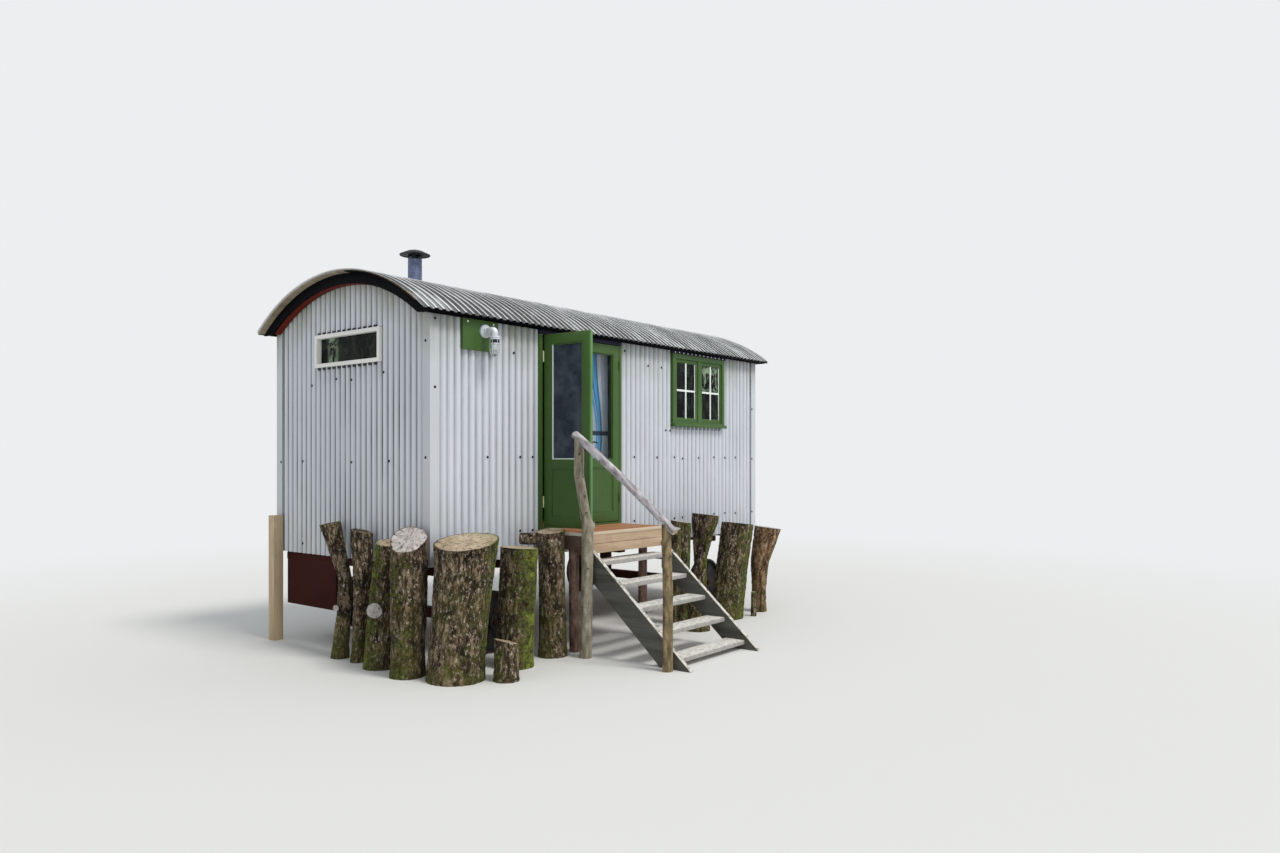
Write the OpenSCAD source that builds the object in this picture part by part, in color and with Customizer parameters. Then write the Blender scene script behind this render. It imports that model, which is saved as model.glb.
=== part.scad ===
/* [Hut body] */
// Length of the hut over its cladding
hut_l = 4940; // [4700:10:5400]
// Width of the hut over its cladding
hut_w = 2270; // [2150:10:2400]
// Height of the cladding's lower edge above the ground
skirt_z = 830; // [800:5:850]
// Height of the floor's walking surface
floor_z = 1060; // [1040:5:1075]
// Thickness of the framed and lined walls
wall_t = 75; // [60:1:110]
// Thickness of the floor boards
floor_t = 28; // [18:1:40]
// Depth of the floor joists
joist_h = 130; // [100:5:150]

/* [Roof] */
// Height of the roof's crown
crown_z = 3320; // [3280:5:3400]
// Height of the roof sheet's edge at the eaves
eaves_z = 2890; // [2885:5:2920]
// How far the roof sheet passes the side walls
eaves_over = 95; // [80:1:160]
// How far the roof sheet passes the end walls
gable_over = 150; // [130:1:200]
// Thickness of the curved roof deck
deck_t = 28; // [25:1:60]
// Thickness of the boarding that carries the sheet out past the bargeboards
verge_t = 9; // [6:1:20]
// Depth of the curved bargeboards
barge_h = 88; // [70:1:150]
// Thickness of the bargeboards and the eaves boards
barge_t = 22; // [16:1:30]
// Gap from the end wall to the back of the bargeboard
barge_gap = 62; // [40:1:90]
// Height of the eaves board's lower edge
eaves_board_z = 2857; // [2850:1:2862]

/* [Corrugated sheet] */
// Distance from crest to crest
corr_pitch = 76.2; // [60:0.1:100]
// Depth from crest to valley
corr_depth = 18; // [12:0.5:22]
// Thickness of the steel
sheet_t = 1.5; // [1:0.1:2.5]
// Width of each leg of the corner flashings
flash_w = 95; // [60:1:130]
// Thickness of the corner flashings
flash_t = 2; // [1:0.1:3]

/* [Doorway] */
// Distance from the left corner to the door frame
door_x = 1212; // [1150:1:1300]
// Width of the door frame over its jambs
door_w = 1148; // [1000:1:1250]
// Height of the top of the door leaves
leaf_top_z = 2813; // [2700:1:2818]
// Face width of the jambs
jamb_w = 36; // [25:1:60]
// Thickness of the door leaves
leaf_t = 44; // [35:1:50]
// Face width of the leaf's stiles
stile_w = 88; // [60:1:110]
// Height of the glass's lower edge
glass_z = 1690; // [1500:5:1850]
// How far the left leaf stands open
left_open = 88; // [60:1:90]

/* [Windows] */
// Distance from the left corner to the front window
win_x = 3225; // [3000:5:3500]
// Width of the front window over its frame
win_w = 1000; // [700:5:1100]
// Height of the front window's sill above the ground
win_z = 2050; // [1800:5:2200]
// Height of the front window over its frame
win_h = 780; // [500:5:780]
// Face width of the front window's frame
win_frame = 52; // [30:1:60]
// Width of the front window's middle post
win_post = 56; // [40:1:80]
// Distance from the front corner to the end window
end_win_y = 655; // [500:5:800]
// Width of the end window over its frame
end_win_w = 965; // [600:5:1100]
// Height of the end window's sill above the ground
end_win_z = 2515; // [2300:5:2550]
// Height of the end window over its frame
end_win_h = 293; // [200:1:320]
// Face width of the end window's frame
end_frame = 34; // [20:1:50]

/* [Flue] */
// Distance of the flue from the left corner
flue_x = 1090; // [800:10:4200]
// Distance of the flue from the front wall
flue_y = 1600; // [1300:10:1750]
// Diameter of the flue pipe
flue_d = 138; // [100:1:180]
// Height of the flue pipe's rim above the roof's crown
flue_rise = 360; // [250:5:450]
// Diameter of the flue's rain cap
cap_d = 300; // [220:5:360]

/* [Lamp] */
// Distance from the left corner to the lamp board
lamp_x = 320; // [200:5:600]
// Width of the lamp board
lamp_w = 385; // [200:5:500]
// Height of the lamp board
lamp_h = 256; // [200:1:300]

/* [Undercarriage] */
// Diameter of the wheels
wheel_d = 540; // [460:5:560]
// Width of the wheels' tyres
tyre_w = 75; // [50:1:100]
// Distance from each end of the hut to its axle
axle_x = 820; // [650:10:1200]
// Height of the chassis rails
rail_h = 90; // [80:5:110]
// Width of the chassis rails
rail_w = 80; // [60:5:120]
// Distance of the chassis rails from the middle line
rail_out = 560; // [450:10:700]

/* [Landing and stair] */
// Width of the landing and its front board
landing_w = 1165; // [1120:5:1250]
// How far the landing stands out from the hut
landing_d = 560; // [500:5:700]
// Thickness of the landing's boards
landing_t = 30; // [20:1:40]
// Height of the landing's front board
fascia_h = 160; // [120:5:200]
// Width of the stair over its side boards
stair_w = 1075; // [800:5:1090]
// Rise from tread to tread
rise = 181; // [160:1:190]
// Going from tread to tread
going = 210; // [180:1:240]
// Height of the lowest tread's top
first_rise = 83; // [70:1:100]
// Depth of a tread
tread_d = 200; // [170:1:230]
// Thickness of the treads
tread_t = 38; // [30:1:45]
// Width of the side boards' timber
string_h = 200; // [160:5:230]
// Thickness of the side boards
string_t = 42; // [30:1:50]

/* [Handrail] */
// Height of the handrail where it leaves the upper pole
rail_top_z = 1867; // [1800:1:2000]
// Height of the handrail over the lower pole
rail_foot_z = 1175; // [1100:5:1250]
// Radius of the rail pole
pole_r = 34; // [28:1:40]
// How far the upper pole's head leans out from the landing
pole_lean = 55; // [0:5:90]

/* [Hidden] */
$fn = 72;

// Clearance between pieces that seat on each other
seat = 0.3;
// Depth in from the outer line to the crests of the wall sheets
crest_in = flash_t + seat;
// Depth in from the outer line to the framed wall
slab_in = crest_in + corr_depth + sheet_t + seat;
// Depth in from the outer line to the room
room_in = slab_in + wall_t;
// Lower edge of the framed walls, just above the sheet's edge
slab_z = skirt_z + 10;

// Roof circle, from the crown and the eaves
half_span = hut_w / 2 + eaves_over;
roof_rise = crown_z - eaves_z;
roof_r = (half_span * half_span + roof_rise * roof_rise) / (2 * roof_rise);
arch_z = crown_z - roof_r;
deck_r = roof_r - corr_depth - sheet_t - seat;
under_r = deck_r - deck_t;
flue_z = crown_z + flue_rise;
// How far the roof boarding stays back from the edge of the sheet
verge_in = 8;
// Height of the deck's underside over a line at this depth in from the side walls
function deck_under(y) = arch_z + sqrt(pow(under_r, 2) - pow(hut_w / 2 - y, 2));

side_sheet_top = deck_under(crest_in) - 3;
steps_per_pitch = 8;

// Door sizes that follow from the frame
door_gap = 5;
meet_gap = 8;
leaf_z = floor_z + 25;
open_w = door_w - 2 * jamb_w;
leaf_w = (open_w - 2 * door_gap - meet_gap) / 2;
door_out = 22;
leaf_out = door_out - 2;
hinge_out = 7;
pin_y = -leaf_out - hinge_out;
left_pin_x = door_x + jamb_w + door_gap / 2;
right_pin_x = door_x + door_w - jamb_w - door_gap / 2;
hinge_r = norm([door_gap / 2, hinge_out - door_out + leaf_out]) - seat;
header_z = leaf_top_z + door_gap;
sill_t = 18;

// Stair line
tread_n = 5;
stair_a = atan(rise / going);
landing_x = door_x - 32;
stair_x = landing_x + landing_w - stair_w;
landing_z = floor_z;
fascia_t = 40;
string_y = -landing_d - seat;
nose_y = string_y - 90;
top_tread_z = first_rise + (tread_n - 1) * rise;

axle_z = wheel_d / 2;
joist_top = floor_z - floor_t;
rail_top = joist_top - joist_h;
rail_z = rail_top - rail_h;
bearer_h = 60;

// Top edge of the side boards: its lift over the treads, its height at the landing
// and where it meets the ground
string_lift = 30 / cos(stair_a);
stair_slope = rise / going;
string_top = top_tread_z + (string_y - nose_y) * stair_slope + string_lift;
foot_y = string_y - string_top / stair_slope;

// How far the stumps reach out past the left end
log_reach = 322;

// Middle of the whole footprint, which is the origin
mid_x = (hut_l + gable_over - log_reach) / 2;
mid_y = (hut_w + eaves_over + foot_y) / 2;

steel_grey = "#c9cdcf";
roof_grey = "#9da19f";
hut_green = "#43662f";
navy = "#1d2130";
red_oxide = "#7a2a1c";
pine = "#c7a27c";
bark = "#6d5c4b";
pole_bark = "#a39380";
weathered = "#6a6862";

module on_site() {
    translate([-mid_x, -mid_y, 0]) children();
}

// Local frame of a wall: x runs along it, y runs in from its outer line
module on_front() {
    on_site() children();
}

module on_back() {
    on_site() translate([0, hut_w, 0]) mirror([0, 1, 0]) children();
}

module on_left() {
    on_site() mirror([1, -1, 0]) children();
}

module on_right() {
    on_site() translate([hut_l, 0, 0]) rotate([0, 0, 90]) children();
}

module block(x0, x1, y0, y1, z0, z1) {
    translate([x0, y0, z0]) cube([x1 - x0, y1 - y0, z1 - z0]);
}

// Curved piece that follows the roof, from one radius to another
module arched(r_in, r_out, x0, x1, half) {
    sweep = 2 * asin(half / r_out);
    translate([0, hut_w / 2, arch_z])
        rotate([0, 90, 0])
            rotate_extrude(angle = sweep, start = 180 - sweep / 2, $fn = 240)
                polygon([[r_in, x0], [r_out, x0], [r_out, x1], [r_in, x1]]);
}

// Keeps what lies under the roof deck
module below_deck() {
    intersection() {
        children();
        translate([hut_l / 2, hut_w / 2, arch_z])
            rotate([0, 90, 0])
                cylinder(r = under_r - seat, h = 2 * hut_l, center = true, $fn = 240);
    }
}

function dip(s) = corr_depth / 2 * (1 - cos(360 * s / corr_pitch));

// Outline of a corrugated sheet: one face, then the other face back
function sheet_line(s0, s1, lift) =
    let (n = ceil((s1 - s0) / corr_pitch * steps_per_pitch), step = (s1 - s0) / n)
    concat(
        [for (i = [0:n]) [s0 + i * step, lift + dip(s0 + i * step)]],
        [for (i = [n:-1:0]) [s0 + i * step, lift + dip(s0 + i * step) + sheet_t]]
    );

module sheet_wall(s0, s1, z0, z1) {
    translate([0, 0, z0])
        linear_extrude(z1 - z0)
            polygon(sheet_line(s0, s1, crest_in));
}

module window_hole(x, w, z, h, spare) {
    block(x - spare, x + w + spare, -60, room_in + 40, z - spare, z + h + spare);
}

module wall_slab(x0, x1, z0, z1) {
    block(x0, x1, slab_in, room_in, z0, z1);
}

module floor_boards() {
    color("#a98256") on_site()
        block(room_in, hut_l - room_in, room_in, hut_w - room_in, joist_top, floor_z);
}

module floor_joists() {
    count = 9;
    joist_w = 60;
    pitch = (hut_l - 2 * room_in - joist_w) / (count - 1);
    color(pine) on_site()
        for (i = [0:count - 1])
            translate([room_in + i * pitch, room_in, rail_top])
                cube([joist_w, hut_w - 2 * room_in, joist_h]);
}

module front_wall_left() {
    color("#d8c7a8") on_front() below_deck()
        wall_slab(slab_in, door_x, slab_z, crown_z);
}

module front_wall_right() {
    color("#d8c7a8") on_front() below_deck()
        difference() {
            wall_slab(door_x + door_w, hut_l - slab_in, slab_z, crown_z);
            window_hole(win_x, win_w, win_z, win_h, 0);
        }
}

module front_wall_over_door() {
    color("#d8c7a8") on_front() below_deck()
        wall_slab(door_x, door_x + door_w, eaves_board_z, crown_z);
}

module front_wall_under_door() {
    color("#d8c7a8") on_front()
        wall_slab(door_x, door_x + door_w, slab_z, floor_z);
}

module back_wall() {
    color("#d8c7a8") on_back()
        below_deck() wall_slab(slab_in, hut_l - slab_in, slab_z, crown_z);
}

module end_wall() {
    difference() {
        wall_slab(room_in, hut_w - room_in, slab_z, crown_z + 10);
        window_hole(end_win_y, end_win_w, end_win_z, end_win_h, 0);
    }
}

module left_end_wall() {
    color("#d8c7a8") on_site() below_deck()
        mirror([1, -1, 0]) end_wall();
}

module right_end_wall() {
    color("#d8c7a8") on_site() below_deck()
        translate([hut_l, 0, 0]) rotate([0, 0, 90]) end_wall();
}

corner_in = slab_in + 3;

module front_cladding() {
    color(steel_grey) on_front()
        difference() {
            sheet_wall(corner_in, hut_l - corner_in, skirt_z, side_sheet_top);
            block(door_x - 1, door_x + door_w + 1, -60, room_in, floor_z - 1, crown_z);
            window_hole(win_x, win_w, win_z, win_h, 1);
        }
}

module back_cladding() {
    color(steel_grey) on_back()
        sheet_wall(corner_in, hut_l - corner_in, skirt_z, side_sheet_top);
}

module end_sheet() {
    difference() {
        sheet_wall(corner_in, hut_w - corner_in, skirt_z, crown_z + 10);
        window_hole(end_win_y, end_win_w, end_win_z, end_win_h, 1);
    }
}

module left_end_cladding() {
    color(steel_grey) on_site() below_deck()
        mirror([1, -1, 0]) end_sheet();
}

module right_end_cladding() {
    color(steel_grey) on_site() below_deck()
        translate([hut_l, 0, 0]) rotate([0, 0, 90]) end_sheet();
}

module flashing() {
    linear_extrude(side_sheet_top - skirt_z)
        polygon([
            [0, 0], [flash_w, 0], [flash_w, flash_t],
            [flash_t, flash_t], [flash_t, flash_w], [0, flash_w]
        ]);
}

module corner_flashings() {
    color(steel_grey) on_site() translate([0, 0, skirt_z]) {
        flashing();
        translate([hut_l, 0, 0]) mirror([1, 0, 0]) flashing();
        translate([0, hut_w, 0]) mirror([0, 1, 0]) flashing();
        translate([hut_l, hut_w, 0]) rotate([0, 0, 180]) flashing();
    }
}

module roof_deck() {
    verge = gable_over - verge_in;
    color("#8a6a48") on_site()
        difference() {
            union() {
                arched(under_r, deck_r, -barge_gap, hut_l + barge_gap, half_span - 25);
                arched(deck_r - verge_t, deck_r, -verge, hut_l + verge, half_span - verge_in);
            }
            flue_hole();
        }
}

module flue_hole() {
    translate([flue_x, flue_y, floor_z])
        cylinder(r = flue_d / 2 + seat, h = flue_z);
}

module roof_sheet() {
    sweep = 2 * asin(half_span / roof_r);
    outline = sheet_line(-gable_over, hut_l + gable_over, 0);
    color(roof_grey) on_site()
        difference() {
            translate([0, hut_w / 2, arch_z])
                rotate([0, 90, 0])
                    rotate_extrude(angle = sweep, start = 180 - sweep / 2, $fn = 240)
                        polygon([for (p = outline) [roof_r - p[1], p[0]]]);
            flue_hole();
        }
}

barge_r = deck_r - verge_t - seat;

// Curved board with its tails cut level with the eaves boards
module bargeboard(x) {
    intersection() {
        arched(barge_r - barge_h, barge_r, x, x + barge_t, half_span - 12);
        block(x - 10, x + barge_t + 10, -eaves_over, hut_w + eaves_over, eaves_board_z, crown_z);
    }
}

module bargeboards() {
    color(navy) on_site() {
        bargeboard(-barge_gap - barge_t);
        bargeboard(hut_l + barge_gap);
    }
}

module gable_soffits() {
    soffit_t = 18;
    r = barge_r - barge_h - 3;
    half = sqrt(pow(r, 2) - pow(eaves_board_z + seat - arch_z, 2));
    color(red_oxide) on_site() {
        arched(r, r + soffit_t, -barge_gap, 0, half);
        arched(r, r + soffit_t, hut_l, hut_l + barge_gap, half);
    }
}

module eaves_board() {
    below_deck()
        block(-barge_gap, hut_l + barge_gap, -barge_t - seat, -seat, eaves_board_z, crown_z);
}

module eaves_boards() {
    color(navy) on_site() {
        eaves_board();
        translate([0, hut_w, 0]) mirror([0, 1, 0]) eaves_board();
    }
}

module door_frame() {
    z1 = header_z;
    color(hut_green) on_front() {
        difference() {
            block(door_x, door_x + door_w, -door_out, room_in, floor_z + seat, z1);
            block(door_x + jamb_w, door_x + door_w - jamb_w, -60, room_in + 40,
                floor_z + sill_t, z1 + 10);
        }
    }
}

module door_headers() {
    color(navy) on_front() {
        block(door_x, door_x + door_w, -door_out, room_in, header_z, eaves_board_z);
        block(win_x - 18, win_x + win_w + 18, -door_out, -seat, win_z + win_h, eaves_board_z);
    }
}

glass_w = leaf_w - 2 * stile_w;
glass_h = leaf_top_z - glass_z - 92;

// A leaf in the frame of its hinge pin: x runs from the pin to the free edge,
// y runs in from the pin's plane
module leaf() {
    z1 = leaf_top_z;
    edge = door_gap / 2;
    panel_side = stile_w - 6;
    foot_rail = 95;
    lock_rail = 75;
    recess = 9;
    difference() {
        block(edge, edge + leaf_w, hinge_out, hinge_out + leaf_t, leaf_z, z1);
        block(edge + stile_w, edge + stile_w + glass_w, 0, hinge_out + leaf_t + 10,
            glass_z, glass_z + glass_h);
        for (y = [hinge_out - 10, hinge_out + leaf_t - recess])
            block(edge + panel_side, edge + leaf_w - panel_side, y, y + recess + 10,
                leaf_z + foot_rail, glass_z - lock_rail);
    }
}

module leaf_glass() {
    door_pane_t = 6;
    x0 = door_gap / 2 + stile_w;
    y0 = hinge_out + (leaf_t - door_pane_t) / 2;
    block(x0, x0 + glass_w, y0, y0 + door_pane_t, glass_z, glass_z + glass_h);
}

// Butt hinges: a barrel on the pin's line and a plate on the leaf's edge
module leaf_hinges() {
    hinge_h = 100;
    plate = 2;
    hinge_zs = [leaf_z + 175, leaf_top_z - 245];
    for (z = hinge_zs)
        translate([0, 0, z]) {
            cylinder(r = hinge_r, h = hinge_h);
            block(0, door_gap / 2, 0, hinge_out + leaf_t - 8, plate, hinge_h - plate);
        }
}

module left_leaf_place() {
    on_front() translate([left_pin_x, pin_y, 0]) rotate([0, 0, -left_open]) children();
}

module right_leaf_place() {
    on_front() translate([right_pin_x, pin_y, 0]) mirror([1, 0, 0]) children();
}

module left_door_leaf() {
    color(hut_green) left_leaf_place() leaf();
}

module left_door_glass() {
    color("#8fa3ad", 0.5) left_leaf_place() leaf_glass();
}

module left_door_hinges() {
    color("#c9a24a") left_leaf_place() leaf_hinges();
}

module right_door_leaf() {
    color(hut_green) right_leaf_place() leaf();
}

module right_door_glass() {
    color("#8fa3ad", 0.5) right_leaf_place() leaf_glass();
}

module right_door_hinges() {
    color("#c9a24a") right_leaf_place() leaf_hinges();
}

module frame_ring(x, w, z, h, face, y0, y1) {
    difference() {
        block(x, x + w, y0, y1, z, z + h);
        block(x + face, x + w - face, y0 - 10, y1 + 10, z + face, z + h - face);
    }
}

module front_window_frame() {
    sill_out = 48;
    color(hut_green) on_front() {
        frame_ring(win_x, win_w, win_z, win_h, win_frame, -door_out, room_in);
        block(win_x + (win_w - win_post) / 2, win_x + (win_w + win_post) / 2,
            -door_out + 6, room_in, win_z + win_frame, win_z + win_h - win_frame);
        block(win_x - 10, win_x + win_w + 10, -sill_out, -door_out, win_z - 4, win_z + 30);
    }
}

sash_w = (win_w - 2 * win_frame - win_post) / 2;
sash_face = 34;
sash_y = -8;
sash_t = 40;
sash_xs = [win_x + win_frame, win_x + (win_w + win_post) / 2];

module front_window_sashes() {
    color(hut_green) on_front()
        for (x = sash_xs)
            frame_ring(x, sash_w, win_z + win_frame, win_h - 2 * win_frame, sash_face,
                sash_y, sash_y + sash_t);
}

module end_window(face, y0, y1) {
    frame_ring(end_win_y, end_win_w, end_win_z, end_win_h, face, y0, y1);
}

module end_window_frames() {
    color("#eef0ee") {
        on_left() end_window(end_frame, -10, room_in);
        on_right() end_window(end_frame, -10, room_in);
    }
}

pane_t = 4;

module front_panes() {
    side = sash_face + win_frame;
    y0 = sash_y + (sash_t - pane_t) / 2;
    for (x = sash_xs)
        block(x + sash_face, x + sash_w - sash_face, y0, y0 + pane_t,
            win_z + side, win_z + win_h - side);
}

module end_pane() {
    y0 = 40;
    block(end_win_y + end_frame, end_win_y + end_win_w - end_frame, y0, y0 + pane_t,
        end_win_z + end_frame, end_win_z + end_win_h - end_frame);
}

module window_glass() {
    color("#8fa3ad", 0.5) {
        on_front() front_panes();
        on_left() end_pane();
        on_right() end_pane();
    }
}

curtain_pole_r = 9;
curtain_pole_y = room_in + 45;
curtain_pole_z = 2780;

module door_curtain() {
    fall = curtain_pole_z - curtain_pole_r - seat;
    color("#8fb4cf") on_front()
        block(door_x + 610, door_x + door_w - 30, curtain_pole_y - 22, curtain_pole_y + 22,
            floor_z + 150, fall);
}

module curtain_pole() {
    x0 = door_x - 60;
    x1 = door_x + door_w + 60;
    color("#4a4a4a") on_front() {
        translate([x0 - 20, curtain_pole_y, curtain_pole_z])
            rotate([0, 90, 0]) cylinder(r = curtain_pole_r, h = x1 - x0 + 40);
        for (x = [x0, x1])
            translate([x, room_in, curtain_pole_z])
                rotate([-90, 0, 0]) cylinder(r = 6, h = curtain_pole_y - room_in);
    }
}

module flue_pipe() {
    wall = 3;
    rib_h = 9;
    bottom = deck_under(flue_y) - 25;
    rib_n = 7;
    color("#66707c") on_site() translate([flue_x, flue_y, 0])
        rotate_extrude()
            polygon(concat(
                [[flue_d / 2 - wall, bottom], [flue_d / 2, bottom]],
                [for (i = [0:rib_n]) for (p = [[0, 0], [2, 2], [2, 7], [0, rib_h]])
                    [flue_d / 2 - p[0], flue_z - 240 + i * 30 + p[1]]],
                [[flue_d / 2, flue_z], [flue_d / 2 - wall, flue_z]]
            ));
}

// Rain cap on a neck that slides into the pipe, with four gaps for the smoke
module flue_cap() {
    neck_r = flue_d / 2 - 3 - seat;
    rim_z = flue_z + 42;
    gap_w = 60;
    color("#2b2d2e") on_site() translate([flue_x, flue_y, 0])
        difference() {
            rotate_extrude()
                polygon([
                    [neck_r - 3, flue_z - 40], [neck_r, flue_z - 40], [neck_r, rim_z + 6],
                    [cap_d / 2 - 4, rim_z], [cap_d / 2, rim_z], [cap_d / 2, rim_z + 7],
                    [cap_d / 4, rim_z + 42], [0, rim_z + 60], [0, rim_z + 56],
                    [cap_d / 4, rim_z + 38], [neck_r - 3, rim_z + 26]
                ]);
            for (a = [0, 90])
                rotate([0, 0, a])
                    block(-flue_d, flue_d, -gap_w / 2, gap_w / 2, flue_z + 4, rim_z - 2);
        }
}

lamp_z = eaves_board_z - lamp_h - seat;
lamp_board_t = 25;
lamp_face = flash_t - lamp_board_t;

module lamp_board() {
    color(hut_green) on_front()
        block(lamp_x, lamp_x + lamp_w, lamp_face, flash_t, lamp_z, lamp_z + lamp_h);
}

lamp_cx = lamp_x + 235;
lamp_cz = lamp_z + 165;
lamp_reach = 140;

// Bulkhead lamp: round base, elbow, collar, glass jar and wire guard in one
module wall_lamp() {
    base_r = 60;
    arm_r = 30;
    jar_r = 36;
    guard_r = 44;
    color("#b9bdc0") on_front() translate([lamp_cx, lamp_face - seat, lamp_cz]) {
        rotate([90, 0, 0]) cylinder(r = base_r, h = 22);
        rotate([90, 0, 0]) cylinder(r = arm_r, h = lamp_reach);
        translate([0, -lamp_reach, 0]) {
            sphere(arm_r);
            translate([0, 0, -60]) cylinder(r = arm_r, h = 60);
            translate([0, 0, -78]) cylinder(r = guard_r, h = 22);
            translate([0, 0, -176]) cylinder(r = jar_r, h = 100);
            translate([0, 0, -176]) sphere(jar_r);
        }
    }
}

module chassis_rails() {
    color(red_oxide) on_site()
        for (s = [-1, 1])
            translate([room_in, hut_w / 2 + s * rail_out - rail_w / 2, rail_z])
                cube([hut_l - 2 * room_in, rail_w, rail_h]);
}

bearer_w = 90;
bearer_in = 70;
bearer_xs = [bearer_in, axle_x - bearer_w / 2, hut_l / 2 - bearer_w / 2,
    hut_l - axle_x - bearer_w / 2, hut_l - bearer_in - bearer_w];

module chassis_bearers() {
    color(red_oxide) on_site()
        for (x = bearer_xs)
            translate([x, 60, rail_z - bearer_h])
                cube([bearer_w, hut_w - 120, bearer_h]);
}

wheel_in = 150;
axle_t = 90;

stub_r = 26;
axle_xs = [axle_x, hut_l - axle_x];

// Axle beam with a round stub at each end
module axle() {
    stub_out = 25;
    beam_y0 = wheel_in + tyre_w + 30;
    block(-axle_t / 2, axle_t / 2, beam_y0, hut_w - beam_y0,
        axle_z - axle_t / 2, axle_z + axle_t / 2);
    translate([0, wheel_in - stub_out, axle_z])
        rotate([-90, 0, 0]) cylinder(r = stub_r, h = hut_w - 2 * (wheel_in - stub_out));
}

module axles() {
    color(red_oxide) on_site()
        for (x = axle_xs) translate([x, 0, 0]) axle();
}

// Blocks that carry the bearers on the axles
module axle_blocks() {
    block_w = 120;
    color(red_oxide) on_site()
        for (x = axle_xs)
            for (s = [-1, 1])
                translate([x, hut_w / 2 + s * rail_out, 0])
                    block(-bearer_w / 2, bearer_w / 2, -block_w / 2, block_w / 2,
                        axle_z + axle_t / 2, rail_z - bearer_h);
}

// Cast wheel with a flat tyre, a hub and a plate web with ribs, turning about the y axis
module wheel() {
    rim_t = 22;
    hub_r = 58;
    hub_out = 12;
    web_t = 16;
    rib_n = 10;
    rib_w = 18;
    rib_t = 28;
    mid = tyre_w / 2;
    inner_r = wheel_d / 2 - rim_t;
    rotate([-90, 0, 0]) {
        difference() {
            union() {
                difference() {
                    cylinder(r = wheel_d / 2, h = tyre_w);
                    translate([0, 0, -1]) cylinder(r = inner_r, h = tyre_w + 2);
                }
                translate([0, 0, -hub_out]) cylinder(r = hub_r, h = tyre_w + 2 * hub_out);
                translate([0, 0, mid - web_t / 2]) cylinder(r = inner_r + 1, h = web_t);
                for (i = [0:rib_n - 1])
                    rotate([0, 0, i * 360 / rib_n])
                        translate([hub_r - 12, -rib_w / 2, mid - rib_t / 2])
                            cube([inner_r - hub_r + 14, rib_w, rib_t]);
            }
            translate([0, 0, -hub_out - 1])
                cylinder(r = stub_r + seat, h = tyre_w + 2 * hub_out + 2);
        }
    }
}

module wheel_pair(x) {
    on_site() {
        translate([x, wheel_in, axle_z]) wheel();
        translate([x, hut_w - wheel_in - tyre_w, axle_z]) wheel();
    }
}

module wheels() {
    color("#2a2a2c")
        for (x = axle_xs) wheel_pair(x);
}

module end_skirt_board() {
    board_t = 24;
    board_w = 0.35 * hut_w;
    board_h = 500;
    edge = 110;
    color(red_oxide) on_site()
        block(bearer_in - board_t, bearer_in, hut_w - edge - board_w, hut_w - edge,
            slab_z - board_h, slab_z);
}

module rear_corner_post() {
    post = 95;
    edge = 20;
    over_floor = 105;
    color(pine) on_site()
        block(-post - seat, -seat, hut_w - post - edge, hut_w - edge, 0, floor_z + over_floor);
}

module landing_boards() {
    color("#b0743c") on_front()
        block(landing_x, landing_x + landing_w, -landing_d, -seat,
            landing_z - landing_t, landing_z);
}

module landing_beams() {
    z1 = landing_z - landing_t;
    y0 = -landing_d;
    color(pine) on_front() {
        block(landing_x, landing_x + landing_w, y0, y0 + fascia_t, z1 - fascia_h, z1);
        for (x = [landing_x, landing_x + landing_w / 2, landing_x + landing_w - fascia_t])
            block(x, x + fascia_t, y0 + fascia_t + 1, -seat, z1 - 120, z1);
    }
}

// Side boards of the stair, from the ground to the landing's front board
module stair_string(x) {
    low_z = string_top - string_h / cos(stair_a);
    low_y = string_y - low_z / stair_slope;
    translate([x + string_t, 0, 0])
        rotate([90, 0, -90])
            linear_extrude(string_t)
                polygon([
                    [-foot_y, 0], [-string_y, string_top],
                    [-string_y, low_z], [-low_y, 0]
                ]);
}

module stair_strings() {
    cleat = 22;
    color(weathered) on_front() {
        for (s = [0, 1]) {
            x = stair_x + s * (stair_w - string_t);
            cx = s == 0 ? x + string_t - 1 : x - cleat;
            union() {
                stair_string(x);
                for (i = [0:tread_n - 2])
                    translate([cx, nose_y - i * going + 25, top_tread_z - i * rise - tread_t - 26])
                        cube([cleat + 1, tread_d - 60, 26]);
            }
        }
    }
}

module stair_treads() {
    color("#9b9a94") on_front()
        for (i = [0:tread_n - 1])
            translate([stair_x + string_t, nose_y - i * going, top_tread_z - i * rise - tread_t])
                cube([stair_w - 2 * string_t, tread_d, tread_t]);
}

// Grown timber: rings of points round a bent middle line.
// keys holds [share of the way, x, y, z, radius], rough is the depth of the flutes
function key_at(keys, t, c) = lookup(t, [for (k = keys) [k[0], k[c]]]);

function flute(a, t, seed, rough) =
    1 + rough * (0.45 * sin(3 * a + 50 * seed + 60 * t)
        + 0.35 * sin(5 * a + 110 * seed - 90 * t)
        + 0.2 * sin(2 * a + 70 * seed + 300 * t));

function ring(keys, t, side, up, seed, rough, sides, slope) =
    let (c = [key_at(keys, t, 1), key_at(keys, t, 2), key_at(keys, t, 3)],
        r = key_at(keys, t, 4))
    [for (i = [0:sides - 1])
        let (a = 360 * i / sides, q = r * flute(a, t, seed, rough))
        c + q * cos(a) * side + q * sin(a) * up
            + (t == 1 ? q * (slope[0] * cos(a) + slope[1] * sin(a)) : 0) * cross(side, up)];

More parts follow.
